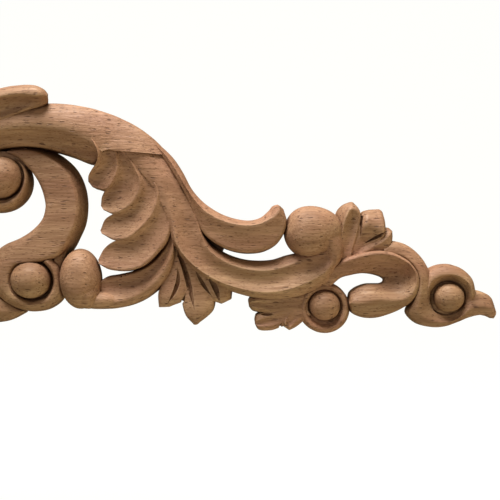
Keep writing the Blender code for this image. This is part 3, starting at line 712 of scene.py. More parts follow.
def long_loop(collection):
    band("long_loop", collection, LOOP_RUNGS, LOOP_FORMS, bulges=(0.3, 0.0), passes=2)
    dome("small_eye", collection, *SMALL_EYE, (15.8, 15.8), 15.2, 10.2, 5.0)
    turned("small_cup", collection, *SMALL_CUP, SMALL_CUP_PROFILE)


# The mitten-shaped leaf beside the small eye
MITTEN_LOBES = {
    "mitten_lobe_1": [
        (308, 292, 308, 314),
        (286, 294, 288, 317),
        (268, 295.5, 270, 315),
        (256, 296, 259, 313),
        (250, 298, 252, 311),
        (248, 301.5, 249, 307.5),
    ],
    "mitten_lobe_2": [
        (308, 298, 306, 320),
        (288, 303, 292, 324),
        (272, 311, 280.5, 328.5),
        (261, 313.5, 270, 331.5),
        (255.5, 317, 258, 330),
        (254.5, 321, 255, 325),
    ],
    "mitten_lobe_3": [
        (298, 298, 312, 316),
        (289, 308, 304, 322),
        (283, 317, 296.5, 328),
        (282, 326, 290, 331.5),
    ],
}
MITTEN_FORMS = [
    (0.0, 6.4, 0.20, 6.5, 6.5, 0.80, 6.4, 6.0),
    (0.4, 6.4, 0.24, 6.7, 6.6, 0.76, 6.6, 6.0),
    (0.7, 6.0, 0.28, 7.0, 6.2, 0.74, 6.9, 5.6),
    (0.9, 5.8, 0.32, 7.2, 6.4, 0.70, 7.0, 5.4),
    (1.0, 5.0, 0.40, 5.8, 5.8, 0.60, 5.8, 5.0),
]

# The upright leaf beside the ball: lobes whose blunt tips are cut back to a lit facet
UPRIGHT_LOBES = {
    "upright_lobe_1": [
        (336, 264, 352, 262),
        (336, 247, 355, 248),
        (336.5, 232, 359, 236),
        (337.5, 218, 362, 225),
        (341, 208.5, 361.5, 213.5),
        (346.5, 203.5, 358.5, 206.5),
        (351.5, 201.3, 354.5, 201.7),
    ],
    "upright_lobe_2": [
        (342, 266, 360, 260),
        (350, 247, 376, 248),
        (357, 232, 384.5, 238),
        (361.5, 220, 386, 226),
        (363.5, 212.8, 384.8, 216),
        (367.5, 209.8, 383.5, 210.5),
        (370.5, 209, 381.5, 208.6),
    ],
    "upright_lobe_3": [
        (346, 264, 358, 268),
        (361, 246, 378, 255),
        (376, 236, 388, 249.5),
        (385.5, 228.5, 393, 243),
        (390.5, 227.5, 394.3, 236.5),
        (393, 229.5, 394.3, 232.5),
    ],
}
UPRIGHT_FORMS = {
    "upright_lobe_1": [
        (0.00, 6.8, 0.24, 8.0, 7.4, 0.86, 7.6, 7.0),
        (0.50, 7.0, 0.28, 9.2, 7.4, 0.86, 8.0, 7.2),
        (0.74, 6.6, 0.36, 10.0, 8.0, 0.84, 8.6, 7.8),
        (0.84, 6.6, 0.42, 9.6, 9.2, 0.80, 9.0, 7.6),
        (1.00, 4.8, 0.50, 5.6, 5.6, 0.70, 5.6, 4.8),
    ],
    "upright_lobe_2": [
        (0.00, 6.6, 0.20, 7.2, 7.0, 0.86, 7.4, 6.8),
        (0.48, 6.6, 0.20, 7.6, 7.2, 0.88, 8.0, 7.2),
        (0.70, 7.8, 0.20, 9.6, 9.4, 0.90, 9.8, 8.6),
        (0.76, 7.4, 0.20, 9.2, 9.2, 0.90, 9.4, 8.2),
        (1.00, 4.0, 0.30, 4.6, 4.6, 0.80, 4.6, 4.0),
    ],
    "upright_lobe_3": [
        (0.00, 6.2, 0.40, 7.0, 6.8, 0.86, 6.8, 6.4),
        (0.50, 6.0, 0.44, 8.0, 7.6, 0.86, 7.4, 6.8),
        (0.82, 5.8, 0.48, 8.6, 8.2, 0.84, 7.8, 6.8),
        (1.00, 4.8, 0.50, 6.2, 6.0, 0.70, 5.8, 5.0),
    ],
}


def small_leaves(collection):
    for name, rungs in MITTEN_LOBES.items():
        band(name, collection, rungs, MITTEN_FORMS, SOFT)
    for name, rungs in UPRIGHT_LOBES.items():
        band(name, collection, rungs, UPRIGHT_FORMS[name], CRISP)


# The end of the scroll: a band round the loop, a volute with its eye, and the leaf tip
END_EYE = (451, 298)
END_RUNGS = [
    (386, 257, 384, 246),
    (395, 256, 393, 241.5),
    (403.5, 258.5, 404, 243),
    (411, 264.5, 415, 249.5),
    (417, 273, 425, 260),
    (419, 282, 431, 272),
    (418, 291, 432.5, 287),
    (414.5, 301.5, 432, 301),
    (410, 314, 435, 310),
    (420, 324.5, 440, 314),
    (433.5, 328, 446, 315.5),
    (447, 327.3, 453, 315),
    (460, 323, 462, 310),
    (473, 318, 475, 292.5),
    (483, 315.9, 485, 292.5),
    (491, 317, 494.5, 297.5),
    (497, 319.5, 500, 312),
]
END_FORMS = [
    (0.00, 7.4, 0.20, 8.2, 8.2, 0.70, 8.0, 6.6),
    (0.20, 8.4, 0.16, 9.3, 8.9, 0.70, 8.4, 6.6),
    (0.42, 8.0, 0.24, 9.0, 8.6, 0.70, 8.0, 7.0),
    (0.60, 5.6, 0.40, 7.4, 6.8, 0.90, 6.0, 5.6),
    (0.72, 5.6, 0.36, 7.6, 6.4, 0.90, 5.6, 5.2),
    (0.84, 5.6, 0.36, 7.8, 7.0, 0.88, 6.2, 5.6),
    (0.94, 5.4, 0.38, 7.6, 6.8, 0.88, 5.6, 4.8),
    (1.00, 5.0, 0.40, 5.6, 5.6, 0.60, 5.6, 4.8),
]
END_VOLUTE_RUNGS = [
    (426, 281, 432, 297),
    (429, 272.5, 435, 290),
    (437, 267.5, 441, 284.5),
    (447.5, 265, 449.5, 282),
    (458, 266, 458, 283.5),
    (467, 271, 464, 287.5),
    (474.5, 279, 467, 293),
    (478, 290, 467, 298.5),
    (479, 302, 465, 305),
]
END_VOLUTE_FORMS = [
    (0.0, 6.2, 0.50, 8.4, 7.4, 0.92, 6.2, 5.8),
    (0.4, 6.2, 0.54, 9.2, 7.9, 0.92, 6.4, 5.8),
    (0.8, 6.4, 0.50, 8.6, 7.6, 0.92, 6.2, 5.6),
    (1.0, 5.2, 0.40, 6.4, 6.2, 0.80, 5.6, 5.2),
]


def scroll_end(collection):
    band("scroll_end", collection, END_RUNGS, END_FORMS, (1.2, 2.6), passes=2)
    band("end_volute", collection, END_VOLUTE_RUNGS, END_VOLUTE_FORMS, bulges=(0.6, 0.0), passes=2)
    dome("end_eye", collection, *END_EYE, (15.6, 15.6), 14.8, 10.6, 5.2)
    turned("end_seat", collection, 450.5, 293, [(10, 5.0), (16, 5.0), (22.5, 4.8)])


# The crest and the pendant at the middle, and the bud between the two volutes
CREST_RUNGS = [
    (-58, 112, -60, 134),
    (-38, 102, -38, 132),
    (-20, 95, -18, 129),
    (-2, 89.5, 2, 122.5),
    (16, 86.2, 18, 116),
    (31, 85.8, 31, 111),
    (41, 88, 41.5, 107.5),
    (46.5, 91.3, 46.5, 104.5),
    (49.5, 95.5, 49.5, 100),
]
CREST_FORMS = [
    (0.0, 10.8, 0.42, 14.2, 11.2, 0.95, 10.4, 10.0),
    (0.3, 11.2, 0.38, 15.2, 11.6, 0.95, 11.8, 11.6),
    (0.75, 11.2, 0.40, 15.4, 12.0, 0.95, 12.0, 11.8),
    (0.90, 12.6, 0.52, 15.4, 13.4, 0.95, 12.0, 11.4),
    (1.00, 11.6, 0.50, 13.0, 12.8, 0.95, 12.0, 11.4),
]
PENDANT_RUNGS = [
    (-58, 283, -62, 317),
    (-34, 289, -36, 322),
    (-14, 294, -14, 324),
    (2, 301, 4, 321.5),
    (14, 308, 15, 316.5),
    (20, 311, 21, 313),
]
PENDANT_FORMS = [
    (0.0, 7.0, 0.50, 8.0, 7.6, 0.90, 6.8, 6.4),
    (0.5, 6.4, 0.50, 7.4, 7.0, 0.90, 5.8, 5.4),
    (1.0, 4.9, 0.50, 5.5, 5.2, 0.80, 4.8, 4.5),
]
MIDDLE_LOBES = {
    "crest_middle": ((AXIS_COLUMN, 134), (AXIS_COLUMN, 63), 34, 0, 11.0, 15.0),
    "crest_side": ((-52, 128), (-22, 73), 24, 5, 10.0, 13.0),
    "pendant_middle": ((AXIS_COLUMN, 272), (AXIS_COLUMN, 343), 34, 0, 8.0, 8.2),
    "pendant_side": ((-52, 280), (-27, 333), 22, -4, 7.0, 7.0),
}


def middle(collection):
    band(
        "crest_scroll",
        collection,
        CREST_RUNGS,
        CREST_FORMS,
        bulges=(1.0, 0.0),
        draft=[(0, -4, 0)],
        undercut=14.0,
    )
    band("pendant_scroll", collection, PENDANT_RUNGS, PENDANT_FORMS)
    for name, (root, tip, width, bow, low, high) in MIDDLE_LOBES.items():
        forms = [
            (0.0, low - 1.5, 0.3, low - 0.3, low, 0.7, low - 0.3, low - 1.5),
            (0.6, high - 2.5, 0.3, high - 0.6, high, 0.7, high - 0.6, high - 2.5),
            (0.9, high - 2.4, 0.3, high - 1.0, high - 0.6, 0.7, high - 1.0, high - 2.4),
            (1.0, high - 2.6, 0.4, high - 2.1, high - 2.0, 0.6, high - 2.1, high - 2.6),
        ]
        rungs = lobe_rungs(root, tip, width, bow, root_share=0.6, blunt=0.6)
        band(name, collection, rungs, forms)
    bud = lobe_rungs((AXIS_COLUMN, 128), (AXIS_COLUMN, 281), 32, 0, 0.7, 0.42, 0.9)
    bud_forms = [
        (0.0, 7.5, 0.30, 9.8, 10.5, 0.70, 9.8, 7.5),
        (0.45, 8.0, 0.30, 12.0, 13.0, 0.70, 12.0, 8.0),
        (0.8, 7.5, 0.30, 9.5, 10.0, 0.70, 9.5, 7.5),
        (1.0, 6.5, 0.40, 6.9, 7.0, 0.60, 6.9, 6.5),
    ]
    band("bud_middle", collection, bud, bud_forms, passes=3)


# The knife cuts: a line on the drawing, and the half width of the cut where it is widest, in millimetres
KNIFE_CUTS = {
    "hanging_vein_1": ([(177, 266), (177.5, 280), (174, 292), (167, 304)], 1.15),
    "hanging_vein_2": ([(173.5, 240), (181, 260), (189, 284), (194.5, 311)], 1.60),
    "hanging_vein_3": ([(195, 270), (203, 285), (212, 297)], 1.05),
    "hanging_vein_4": ([(208, 276), (215, 288), (219.5, 302)], 1.45),
    "hanging_vein_5": ([(187, 290), (184, 298), (180, 305)], 1.00),
    "upright_vein_1": ([(361, 209), (362, 223), (361, 238)], 1.15),
    "upright_vein_2": ([(365, 243.5), (375, 238), (387.5, 231)], 0.90),
    "mitten_vein_1": ([(260, 315), (267, 315.5), (274, 315)], 1.00),
    "mitten_vein_2": ([(280, 318), (281, 324), (280, 331)], 0.90),
}
PIN_HOLES = [(120, 277), (124, 275), (118.5, 285)]
PIN_RADIUS = 0.30
PIN_DEPTH = 1.6
CUT_STEPS = 24
CUT_SINK = 0.4


def socket_tree(name, sizes):
    """A geometry tree with a shape going in and coming out, and one named input for each size."""
    tree = bpy.data.node_groups.new(name, "GeometryNodeTree")
    tree.interface.new_socket("Shape", in_out="INPUT", socket_type="NodeSocketGeometry")
    tree.interface.new_socket("Shape", in_out="OUTPUT", socket_type="NodeSocketGeometry")
    names = {}
    for label in sizes:
        socket = tree.interface.new_socket(label, in_out="INPUT", socket_type="NodeSocketFloat")
        names[label] = socket.identifier
    return tree, tree.nodes.new("NodeGroupInput"), tree.nodes.new("NodeGroupOutput"), names


def maths(tree, operation, first, second=None):
    """One step of arithmetic on a socket, with a number or another socket."""
    node = tree.nodes.new("ShaderNodeMath")
    node.operation = operation
    tree.links.new(first, node.inputs[0])
    if isinstance(second, (int, float)):
        node.inputs[1].default_value = second
    elif second is not None:
        tree.links.new(second, node.inputs[1])
    return node.outputs[0]


def end_tree(tree, shape, going_out, material):
    """Closes a geometry tree: real faces, in the wood's material."""
    real = tree.nodes.new("GeometryNodeRealizeInstances")
    tree.links.new(shape, real.inputs[0])
    finish = tree.nodes.new("GeometryNodeSetMaterial")
    finish.inputs["Material"].default_value = material
    tree.links.new(real.outputs[0], finish.inputs["Geometry"])
    tree.links.new(finish.outputs[0], going_out.inputs[0])


def knife_tree(material):
    """A V tool drawn along each line: pressed deepest in the middle, and lifted out at both ends."""
    tree, going_in, going_out, names = socket_tree("knife_cut", ("Half Width", "Tip Width"))
    line = tree.nodes.new("GeometryNodeMeshToCurve")
    tree.links.new(going_in.outputs[0], line.inputs[0])
    even = tree.nodes.new("GeometryNodeResampleCurve")
    even.inputs["Count"].default_value = CUT_STEPS
    tree.links.new(line.outputs[0], even.inputs["Curve"])
    along = tree.nodes.new("GeometryNodeSplineParameter")
    swell = maths(tree, "SINE", maths(tree, "MULTIPLY", along.outputs["Factor"], math.pi))
    width = maths(tree, "MULTIPLY", swell, going_in.outputs["Half Width"])
    width = maths(tree, "MAXIMUM", width, going_in.outputs["Tip Width"])
    blade = tree.nodes.new("GeometryNodeCurvePrimitiveCircle")
    blade.inputs["Resolution"].default_value = 4
    blade.inputs["Radius"].default_value = 1.0
    sweep = tree.nodes.new("GeometryNodeCurveToMesh")
    sweep.inputs["Fill Caps"].default_value = True
    tree.links.new(even.outputs[0], sweep.inputs["Curve"])
    tree.links.new(width, sweep.inputs["Scale"])
    tree.links.new(blade.outputs[0], sweep.inputs["Profile Curve"])
    end_tree(tree, sweep.outputs[0], going_out, material)
    return tree, names


def pin_tree(material):
    """A pin pricked into the wood at each point."""
    tree, going_in, going_out, names = socket_tree("pin_holes", ("Radius", "Depth"))
    pin = tree.nodes.new("GeometryNodeMeshCylinder")
    pin.inputs["Vertices"].default_value = 10
    tree.links.new(going_in.outputs["Radius"], pin.inputs["Radius"])
    tree.links.new(going_in.outputs["Depth"], pin.inputs["Depth"])
    stamp = tree.nodes.new("GeometryNodeInstanceOnPoints")
    stamp.inputs["Rotation"].default_value = (math.pi / 2, 0, 0)
    tree.links.new(going_in.outputs[0], stamp.inputs["Points"])
    tree.links.new(pin.outputs["Mesh"], stamp.inputs["Instance"])
    end_tree(tree, stamp.outputs[0], going_out, material)
    return tree, names


def on_the_wood(surface, column, row, deep=0.0):
    """The point of the carving that lies under a place on the drawing, or a little deeper in."""
    x, _, z = place(column, row, 0)
    hit = surface.ray_cast(Vector((x, -0.05, z)), Vector((0, 1, 0)))[0]
    return hit + Vector((0, deep, 0)) if hit is not None else Vector(place(column, row, 0))


def tool_marks(name, collection, points, joined, tree, names, sizes):
    """A cutter grown by a geometry tree on points that lie on the wood."""
    edges = [(i, i + 1) for i in range(len(points) - 1)] if joined else []
    mesh = bpy.data.meshes.new(name)
    mesh.from_pydata([tuple(point) for point in points], edges, [])
    guide = bpy.data.objects.new(name, mesh)
    collection.objects.link(guide)
    grow = guide.modifiers.new("tool", "NODES")
    grow.node_group = tree
    for label, value in sizes.items():
        grow[names[label]] = value
    graph = bpy.context.evaluated_depsgraph_get()
    grown = bpy.data.meshes.new_from_object(guide.evaluated_get(graph))
    bpy.data.objects.remove(guide)
    bm = bmesh.new()
    bm.from_mesh(grown)
    bmesh.ops.remove_doubles(bm, verts=bm.verts, dist=1e-7)
    return mesh_object(name, collection, bm)


def tool_cuts(collection, carving, material):
    """Every knife cut and pin hole, laid on the surface of the carving."""
    graph = bpy.context.evaluated_depsgraph_get()
    surface = BVHTree.FromObject(carving, graph)
    knife, knife_names = knife_tree(material)
    for name, (line, half) in KNIFE_CUTS.items():
        line = np.asarray(line, float)
        marks = np.concatenate([[0.0], np.cumsum(np.hypot(*np.diff(line, axis=0).T))])
        path = through(line, marks, np.linspace(0, marks[-1], CUT_STEPS))
        depths = half * MM * CUT_SINK * np.sin(np.linspace(0, math.pi, CUT_STEPS))
        points = [on_the_wood(surface, *spot, deep) for spot, deep in zip(path, depths)]
        sizes = {"Half Width": half * MM, "Tip Width": 0.05 * MM}
        tool_marks(name, collection, points, True, knife, knife_names, sizes)
    pins, pin_names = pin_tree(material)
    points = [on_the_wood(surface, *spot) for spot in PIN_HOLES]
    sizes = {"Radius": PIN_RADIUS * MM, "Depth": 2 * PIN_DEPTH * MM}
    tool_marks("pin_holes", collection, points, False, pins, pin_names, sizes)


def add_twins(collection):
    """The mirror image of every blank that stands to the right of the axis."""
    for obj in list(collection.objects):
        if obj.name.endswith("_middle"):
            continue
        bm = bmesh.new()
        bm.from_mesh(obj.data)
        for vert in bm.verts:
            vert.co.x = -vert.co.x
        mesh_object(obj.name + "_left", collection, bm)


def helper_collection(name):
    collection = bpy.data.collections.new(name)
    bpy.context.scene.collection.children.link(collection)
    return collection


def back_cutter(collection):
    """The block behind the back plane, which leaves the back flat."""
    bm = bmesh.new()
    bmesh.ops.create_cube(bm, size=1.0)
    deep = 0.03
    for vert in bm.verts:
        vert.co = (vert.co.x * 1.5 * LENGTH, (vert.co.y + 0.5) * deep, vert.co.z * LENGTH)
    return mesh_object("back_block", collection, bm)


def boolean_mesh(obj, operation, operand):
    """The mesh of one object joined with, or cut by, an object or a whole collection."""
    cut = obj.modifiers.new(operation, "BOOLEAN")
    cut.operation = operation
    cut.solver = "MANIFOLD"
    if isinstance(operand, bpy.types.Collection):
        cut.operand_type = "COLLECTION"
        cut.collection = operand
    else:
        cut.object = operand
    graph = bpy.context.evaluated_depsgraph_get()
    mesh = bpy.data.meshes.new_from_object(obj.evaluated_get(graph))
    obj.modifiers.remove(cut)
    return mesh


# How the hand-held tools leave the surface, and how the painted shade in the creases and the painted
# highlights on the arrises are found
HAND_WAVE = 0.09 * MM
HAND_SCALE = 110.0
SHADE_RAYS = 20
SHADE_REACH = 0.009


def uneven(mesh):
    """A very slight waviness, as sanding by hand leaves, that stops at the flat back."""
    normals = [vertex.normal.copy() for vertex in mesh.vertices]
    for vertex, normal in zip(mesh.vertices, normals):
        lift = min(1.0, -vertex.co.y / 0.003)
        wave = noise.noise(vertex.co * HAND_SCALE) + 0.5 * noise.noise(vertex.co * HAND_SCALE * 2.7)
        vertex.co = vertex.co + normal * (HAND_WAVE * wave * lift)


def hemisphere(count):
    """Directions spread over a half sphere about +Z, closer together towards its pole."""
    golden = math.pi * (3 - math.sqrt(5))
    rays = []
    for i in range(count):
        height = math.sqrt((i + 0.5) / count)
        flat = math.sqrt(1 - height * height)
        rays.append(Vector((flat * math.cos(golden * i), flat * math.sin(golden * i), height)))
    return rays


def hollow_shade(mesh):
    """How shut in each point is, from 0 in the open to 1 in the deepest cuts: the mask of the painted
    shade in the creases. The flat back is open.
    """
    mesh.calc_loop_triangles()
    corners = [vertex.co for vertex in mesh.vertices]
    surface = BVHTree.FromPolygons(corners, [tuple(t.vertices) for t in mesh.loop_triangles])
    rays = hemisphere(SHADE_RAYS)
    shade = np.zeros(len(corners))
    for index, vertex in enumerate(mesh.vertices):
        if vertex.co.y > -0.01 * MM:
            continue
        turn = vertex.normal.to_track_quat("Z", "Y")
        start = vertex.co + vertex.normal * 0.0001
        shut = 0.0
        for ray in rays:
            distance = surface.ray_cast(start, turn @ ray, SHADE_REACH)[3]
            if distance is not None:
                shut += 1 - distance / SHADE_REACH
        shade[index] = shut / SHADE_RAYS
    return shade


def arris_highlight_mask(mesh):
    """How sharply the surface bends outwards at each point, from 0 to 1: the mask of the painted
    highlight on the arrises.
    """
    count = len(mesh.vertices)
    points = np.empty(count * 3)
    normals = np.empty(count * 3)
    mesh.vertices.foreach_get("co", points)
    mesh.vertices.foreach_get("normal", normals)
    points = points.reshape(-1, 3)
    normals = normals.reshape(-1, 3)
    ends = np.empty(len(mesh.edges) * 2, int)
    mesh.edges.foreach_get("vertices", ends)
    ends = ends.reshape(-1, 2)
    step = points[ends[:, 1]] - points[ends[:, 0]]
    length = np.maximum(np.linalg.norm(step, axis=1), 1e-7)
    bend = np.zeros(count)
    weight = np.zeros(count)
    for near, sign in ((0, 1), (1, -1)):
        drop = -sign * np.einsum("ij,ij->i", normals[ends[:, near]], step) / length
        np.add.at(bend, ends[:, near], drop * np.minimum(length, MM))
        np.add.at(weight, ends[:, near], np.minimum(length, MM))
    return np.clip(bend / np.maximum(weight, 1e-9) * 3, 0, 1)


def keep_attribute(mesh, name, values):
    attribute = mesh.attributes.new(name, "FLOAT", "POINT")
    attribute.data.foreach_set("value", np.asarray(values, dtype=np.float32))


def carved_applique(material):
    """The whole carving: blanks joined, cuts made, back planed, and the surface sanded."""
    blanks = helper_collection("blanks")
    cutters = helper_collection("cutters")
    planes = helper_collection("planes")
    for carve in (
        flat_scroll,
        arched_stem,
        broad_leaf,
        main_stem,
        hooked_leaf,
        ball_branch,
        hanging_leaf,
        long_loop,
        small_leaves,
        scroll_end,
        middle,
    ):
        carve(blanks)
    add_twins(blanks)
    first = blanks.objects["flat_scroll"]
    blanks.objects.unlink(first)
    carving = bpy.data.objects.new("carving", first.data)
    bpy.context.scene.collection.objects.link(carving)
    carving.data = boolean_mesh(carving, "UNION", blanks)
    tool_cuts(cutters, carving, material)
    add_twins(cutters)
    carving.data = boolean_mesh(carving, "DIFFERENCE", cutters)
    carving.data = boolean_mesh(carving, "DIFFERENCE", back_cutter(planes))
    for helper in (blanks, cutters, planes):
        for obj in list(helper.objects):
            bpy.data.objects.remove(obj)
        bpy.data.collections.remove(helper)
    bpy.data.objects.remove(first)
    mesh = carving.data
    uneven(mesh)
    mesh.shade_smooth()
    mesh.set_sharp_from_angle(angle=ARRIS_ANGLE)
    # painted shade: how shut in each point is, kept to darken the colour in the creases
    keep_attribute(mesh, "hollow", hollow_shade(mesh))
    # painted highlight: how sharply each point bends outwards, kept to lighten the arrises
    keep_attribute(mesh, "arris", arris_highlight_mask(mesh))
    mesh.materials.clear()
    mesh.materials.append(material)
    return carving


# The wood: a pale brown hardwood with open pores, its grain running along the applique
HEARTWOOD = (0.245, 0.122, 0.062, 1)
SAPWOOD = (0.480, 0.292, 0.164, 1)
PINK_WOOD = (0.455, 0.218, 0.140, 1)
PORE_BROWN = (0.085, 0.032, 0.016, 1)
# painted shade for the creases
PAINTED_CREASE_SHADE = (0.072, 0.023, 0.006, 1)
# painted highlight for the arrises
PAINTED_ARRIS_HIGHLIGHT = (0.640, 0.420, 0.265, 1)


def stretched_grain(tree, scale, turn=0.0):
    """Object coordinates squeezed along the grain, so that a pattern is drawn out lengthwise."""
    spot = tree.nodes.new("ShaderNodeTexCoord")
    stretch = tree.nodes.new("ShaderNodeMapping")
    stretch.inputs["Scale"].default_value = scale
    stretch.inputs["Rotation"].default_value = (0, math.radians(turn), 0)
    tree.links.new(spot.outputs["Object"], stretch.inputs["Vector"])
    return stretch.outputs["Vector"]


def grain_noise(tree, scale, turn, detail, roughness=0.6):
    cloud = tree.nodes.new("ShaderNodeTexNoise")
    cloud.inputs["Scale"].default_value = 1.0
    cloud.inputs["Detail"].default_value = detail
    cloud.inputs["Roughness"].default_value = roughness
    tree.links.new(stretched_grain(tree, scale, turn), cloud.inputs["Vector"])
    return cloud.outputs["Fac"]


def ramp(tree, value, low, high, start=0.0, end=1.0):
    """A value spread from one range to another."""
    node = tree.nodes.new("ShaderNodeMapRange")
    node.inputs["From Min"].default_value = low
    node.inputs["From Max"].default_value = high
    node.inputs["To Min"].default_value = start
    node.inputs["To Max"].default_value = end
    tree.links.new(value, node.inputs["Value"])
    return node.outputs["Result"]


def blend(tree, share, first, second):
    """Two colours mixed by a share. Each colour is a value or a socket."""
    mix = tree.nodes.new("ShaderNodeMix")
    mix.data_type = "RGBA"
    tree.links.new(share, mix.inputs["Factor"])
    for colour, socket in ((first, mix.inputs["A"]), (second, mix.inputs["B"])):
        if isinstance(colour, tuple):
            socket.default_value = colour
        else:
            tree.links.new(colour, socket)
    return mix.outputs["Result"]


def along_the_board(tree):
    """How pink the patches are: the board turns pinker towards its right end."""
    spot = tree.nodes.new("ShaderNodeTexCoord")
    parts = tree.nodes.new("ShaderNodeSeparateXYZ")
    tree.links.new(spot.outputs["Object"], parts.inputs[0])
    return ramp(tree, parts.outputs["X"], 0.03, 0.14, 0.35, 1.0)


def open_pores(tree, scale, share):
    """Short dark dashes where the knife has opened the wood's vessels."""
    cells = tree.nodes.new("ShaderNodeTexVoronoi")
    cells.inputs["Scale"].default_value = 1.0
    tree.links.new(stretched_grain(tree, scale), cells.inputs["Vector"])
    dash = ramp(tree, cells.outputs["Distance"], 0.20, 0.32, 1.0, 0.0)
    parts = tree.nodes.new("ShaderNodeSeparateColor")
    tree.links.new(cells.outputs["Color"], parts.inputs["Color"])
    chosen = ramp(tree, parts.outputs["Red"], 1 - share, 1.15 - share, 0.0, 1.0)
    return maths(tree, "MULTIPLY", dash, chosen)


def bare_wood():
    """Bare hardwood: bands of growth, fine fibre and open pores, with painted shade in the creases and
    painted highlights on the arrises.
    """
    material = bpy.data.materials.new("bare_wood_carving")
    material.use_nodes = True
    tree = material.node_tree
    shader = tree.nodes["Principled BSDF"]
    growth = ramp(tree, grain_noise(tree, (9, 150, 190), 2.0, 2.0), 0.32, 0.68)
    patches = ramp(tree, grain_noise(tree, (14, 26, 30), 4.0, 2.0), 0.35, 0.65)
    fibre = ramp(tree, grain_noise(tree, (90, 1300, 1300), 0.5, 4.0), 0.38, 0.62)
    pores = open_pores(tree, (250, 1350, 1350), 0.30)
    fine_pores = open_pores(tree, (480, 2200, 2200), 0.75)
    streaks = ramp(tree, grain_noise(tree, (70, 1300, 1300), 1.0, 2.0), 0.60, 0.72)
    colour = blend(tree, growth, SAPWOOD, HEARTWOOD)
    colour = blend(tree, maths(tree, "MULTIPLY", patches, along_the_board(tree)), colour, PINK_WOOD)
    colour = blend(tree, ramp(tree, fibre, 0, 1, 0, 0.55), colour, HEARTWOOD)
    # painted highlight: the colour lightened on the arrises, where the surface bends outwards
    arris_highlight = tree.nodes.new("ShaderNodeAttribute")
    arris_highlight.attribute_name = "arris"
    colour = blend(tree, ramp(tree, arris_highlight.outputs["Fac"], 0.15, 0.9, 0, 0.35), colour, PAINTED_ARRIS_HIGHLIGHT)
    colour = blend(tree, ramp(tree, streaks, 0, 1, 0, 0.30), colour, PORE_BROWN)
    colour = blend(tree, ramp(tree, fine_pores, 0, 1, 0, 0.60), colour, PORE_BROWN)
    colour = blend(tree, ramp(tree, pores, 0, 1, 0, 0.8), colour, PORE_BROWN)
    # painted shade: the colour darkened to a near-black brown in the creases, by how shut in they are
    shut = tree.nodes.new("ShaderNodeAttribute")
    shut.attribute_name = "hollow"
    colour = blend(tree, ramp(tree, shut.outputs["Fac"], 0.29, 0.68, 0, 0.90), colour, PAINTED_CREASE_SHADE)
    tree.links.new(colour, shader.inputs["Base Color"])
    shader.inputs["Specular IOR Level"].default_value = 0.35
    tree.links.new(ramp(tree, fibre, 0, 1, 0.52, 0.68), shader.inputs["Roughness"])
    relief = maths(tree, "SUBTRACT", maths(tree, "MULTIPLY", fibre, 0.35), pores)
    bump = tree.nodes.new("ShaderNodeBump")
    bump.inputs["Strength"].default_value = 0.8
    bump.inputs["Distance"].default_value = 0.00025
    tree.links.new(relief, bump.inputs["Height"])
    tree.links.new(bump.outputs["Normal"], shader.inputs["Normal"])
    return material


# The studio
FLOOR_DROP = 0.12
FLOOR_NEAR = -1.6
FLOOR_FAR = 0.6
SWEEP_RADIUS = 0.5
WALL_TOP = 1.6
HALF_WIDTH = 2.2
LENS = 60
SENSOR = 36
FACE_HEIGHT = 9.0
FRAME_SQUARES = 500
FRAME_CENTRE = (250, 250)


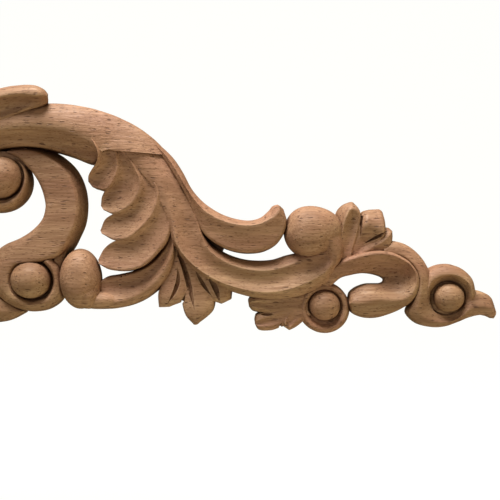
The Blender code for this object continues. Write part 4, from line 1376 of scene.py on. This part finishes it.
def studio_sweep():
    """A pale floor that curves up into a pale backdrop."""
    drop = LOW[2] - FLOOR_DROP + 0.05
    turns = np.linspace(0, math.pi / 2, 17)
    profile = [(FLOOR_NEAR, drop), (FLOOR_FAR, drop)]
    profile += [
        (FLOOR_FAR + SWEEP_RADIUS * math.sin(a), drop + SWEEP_RADIUS * (1 - math.cos(a)))
        for a in turns[1:]
    ]
    profile.append((FLOOR_FAR + SWEEP_RADIUS, WALL_TOP))
    bm = bmesh.new()
    rows = [[bm.verts.new((x, y, z)) for x in (-HALF_WIDTH, HALF_WIDTH)] for y, z in profile]
    for here, there in zip(rows, rows[1:]):
        bm.faces.new((here[0], here[1], there[1], there[0]))
    mesh = bpy.data.meshes.new("studio_sweep")
    bm.to_mesh(mesh)
    bm.free()
    mesh.shade_smooth()
    sweep = bpy.data.objects.new("studio_sweep", mesh)
    bpy.context.scene.collection.objects.link(sweep)
    paper = bpy.data.materials.new("pale_paper")
    paper.use_nodes = True
    shader = paper.node_tree.nodes["Principled BSDF"]
    shader.inputs["Base Color"].default_value = (0.03, 0.03, 0.03, 1)
    shader.inputs["Roughness"].default_value = 0.9
    shader.inputs["Emission Color"].default_value = (0.99, 0.994, 0.965, 1)
    shader.inputs["Emission Strength"].default_value = 0.985
    mesh.materials.append(paper)
    sweep.visible_diffuse = False
    sweep.visible_glossy = False


def area_light(name, place_at, aim_at, size, power, colour):
    light = bpy.data.lights.new(name, "AREA")
    light.shape = "DISK"
    light.size = size
    light.energy = power
    light.color = colour
    obj = bpy.data.objects.new(name, light)
    obj.location = place_at
    obj.rotation_euler = (Vector(aim_at) - Vector(place_at)).to_track_quat("-Z", "Y").to_euler()
    bpy.context.scene.collection.objects.link(obj)


def studio_light():
    """A soft box overhead, weak ones in front and at the right, and light thrown back by the table."""
    centre = (LENGTH * 0.27, -0.01, 0.0)
    area_light("top_box", (-0.03, -0.20, 0.78), centre, 0.46, 13.6, (1.0, 0.98, 0.93))
    area_light("front_box", (-0.45, -0.8, 0.15), centre, 0.7, 2.1, (1.0, 0.98, 0.93))
    area_light("side_box", (0.85, -0.22, 0.02), centre, 0.5, 1.9, (1.0, 0.90, 0.62))
    area_light("table_bounce", (0.15, -0.22, -0.48), centre, 0.6, 2.1, (1.0, 0.95, 0.62))
    world = bpy.data.worlds.new("studio")
    world.use_nodes = True
    glow = world.node_tree.nodes["Background"]
    glow.inputs["Color"].default_value = (1.0, 0.90, 0.56, 1)
    glow.inputs["Strength"].default_value = 0.12
    bpy.context.scene.world = world


def camera():
    """Straight on, with the frame set so that a square of the drawing fills a 500th of its width."""
    data = bpy.data.cameras.new("camera")
    data.sensor_width = SENSOR
    data.lens = LENS
    away = FRAME_SQUARES * SQUARE * LENS / SENSOR
    x, y, z = place(*FRAME_CENTRE, FACE_HEIGHT)
    obj = bpy.data.objects.new("camera", data)
    obj.location = (x, y - away, z)
    obj.rotation_euler = (math.pi / 2, 0, 0)
    bpy.context.scene.collection.objects.link(obj)
    bpy.context.scene.camera = obj


camera()
studio_sweep()
studio_light()
bpy.context.scene.view_settings.view_transform = "Standard"

carving = carved_applique(bare_wood())
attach(carving, "root")
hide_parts("carved_applique")
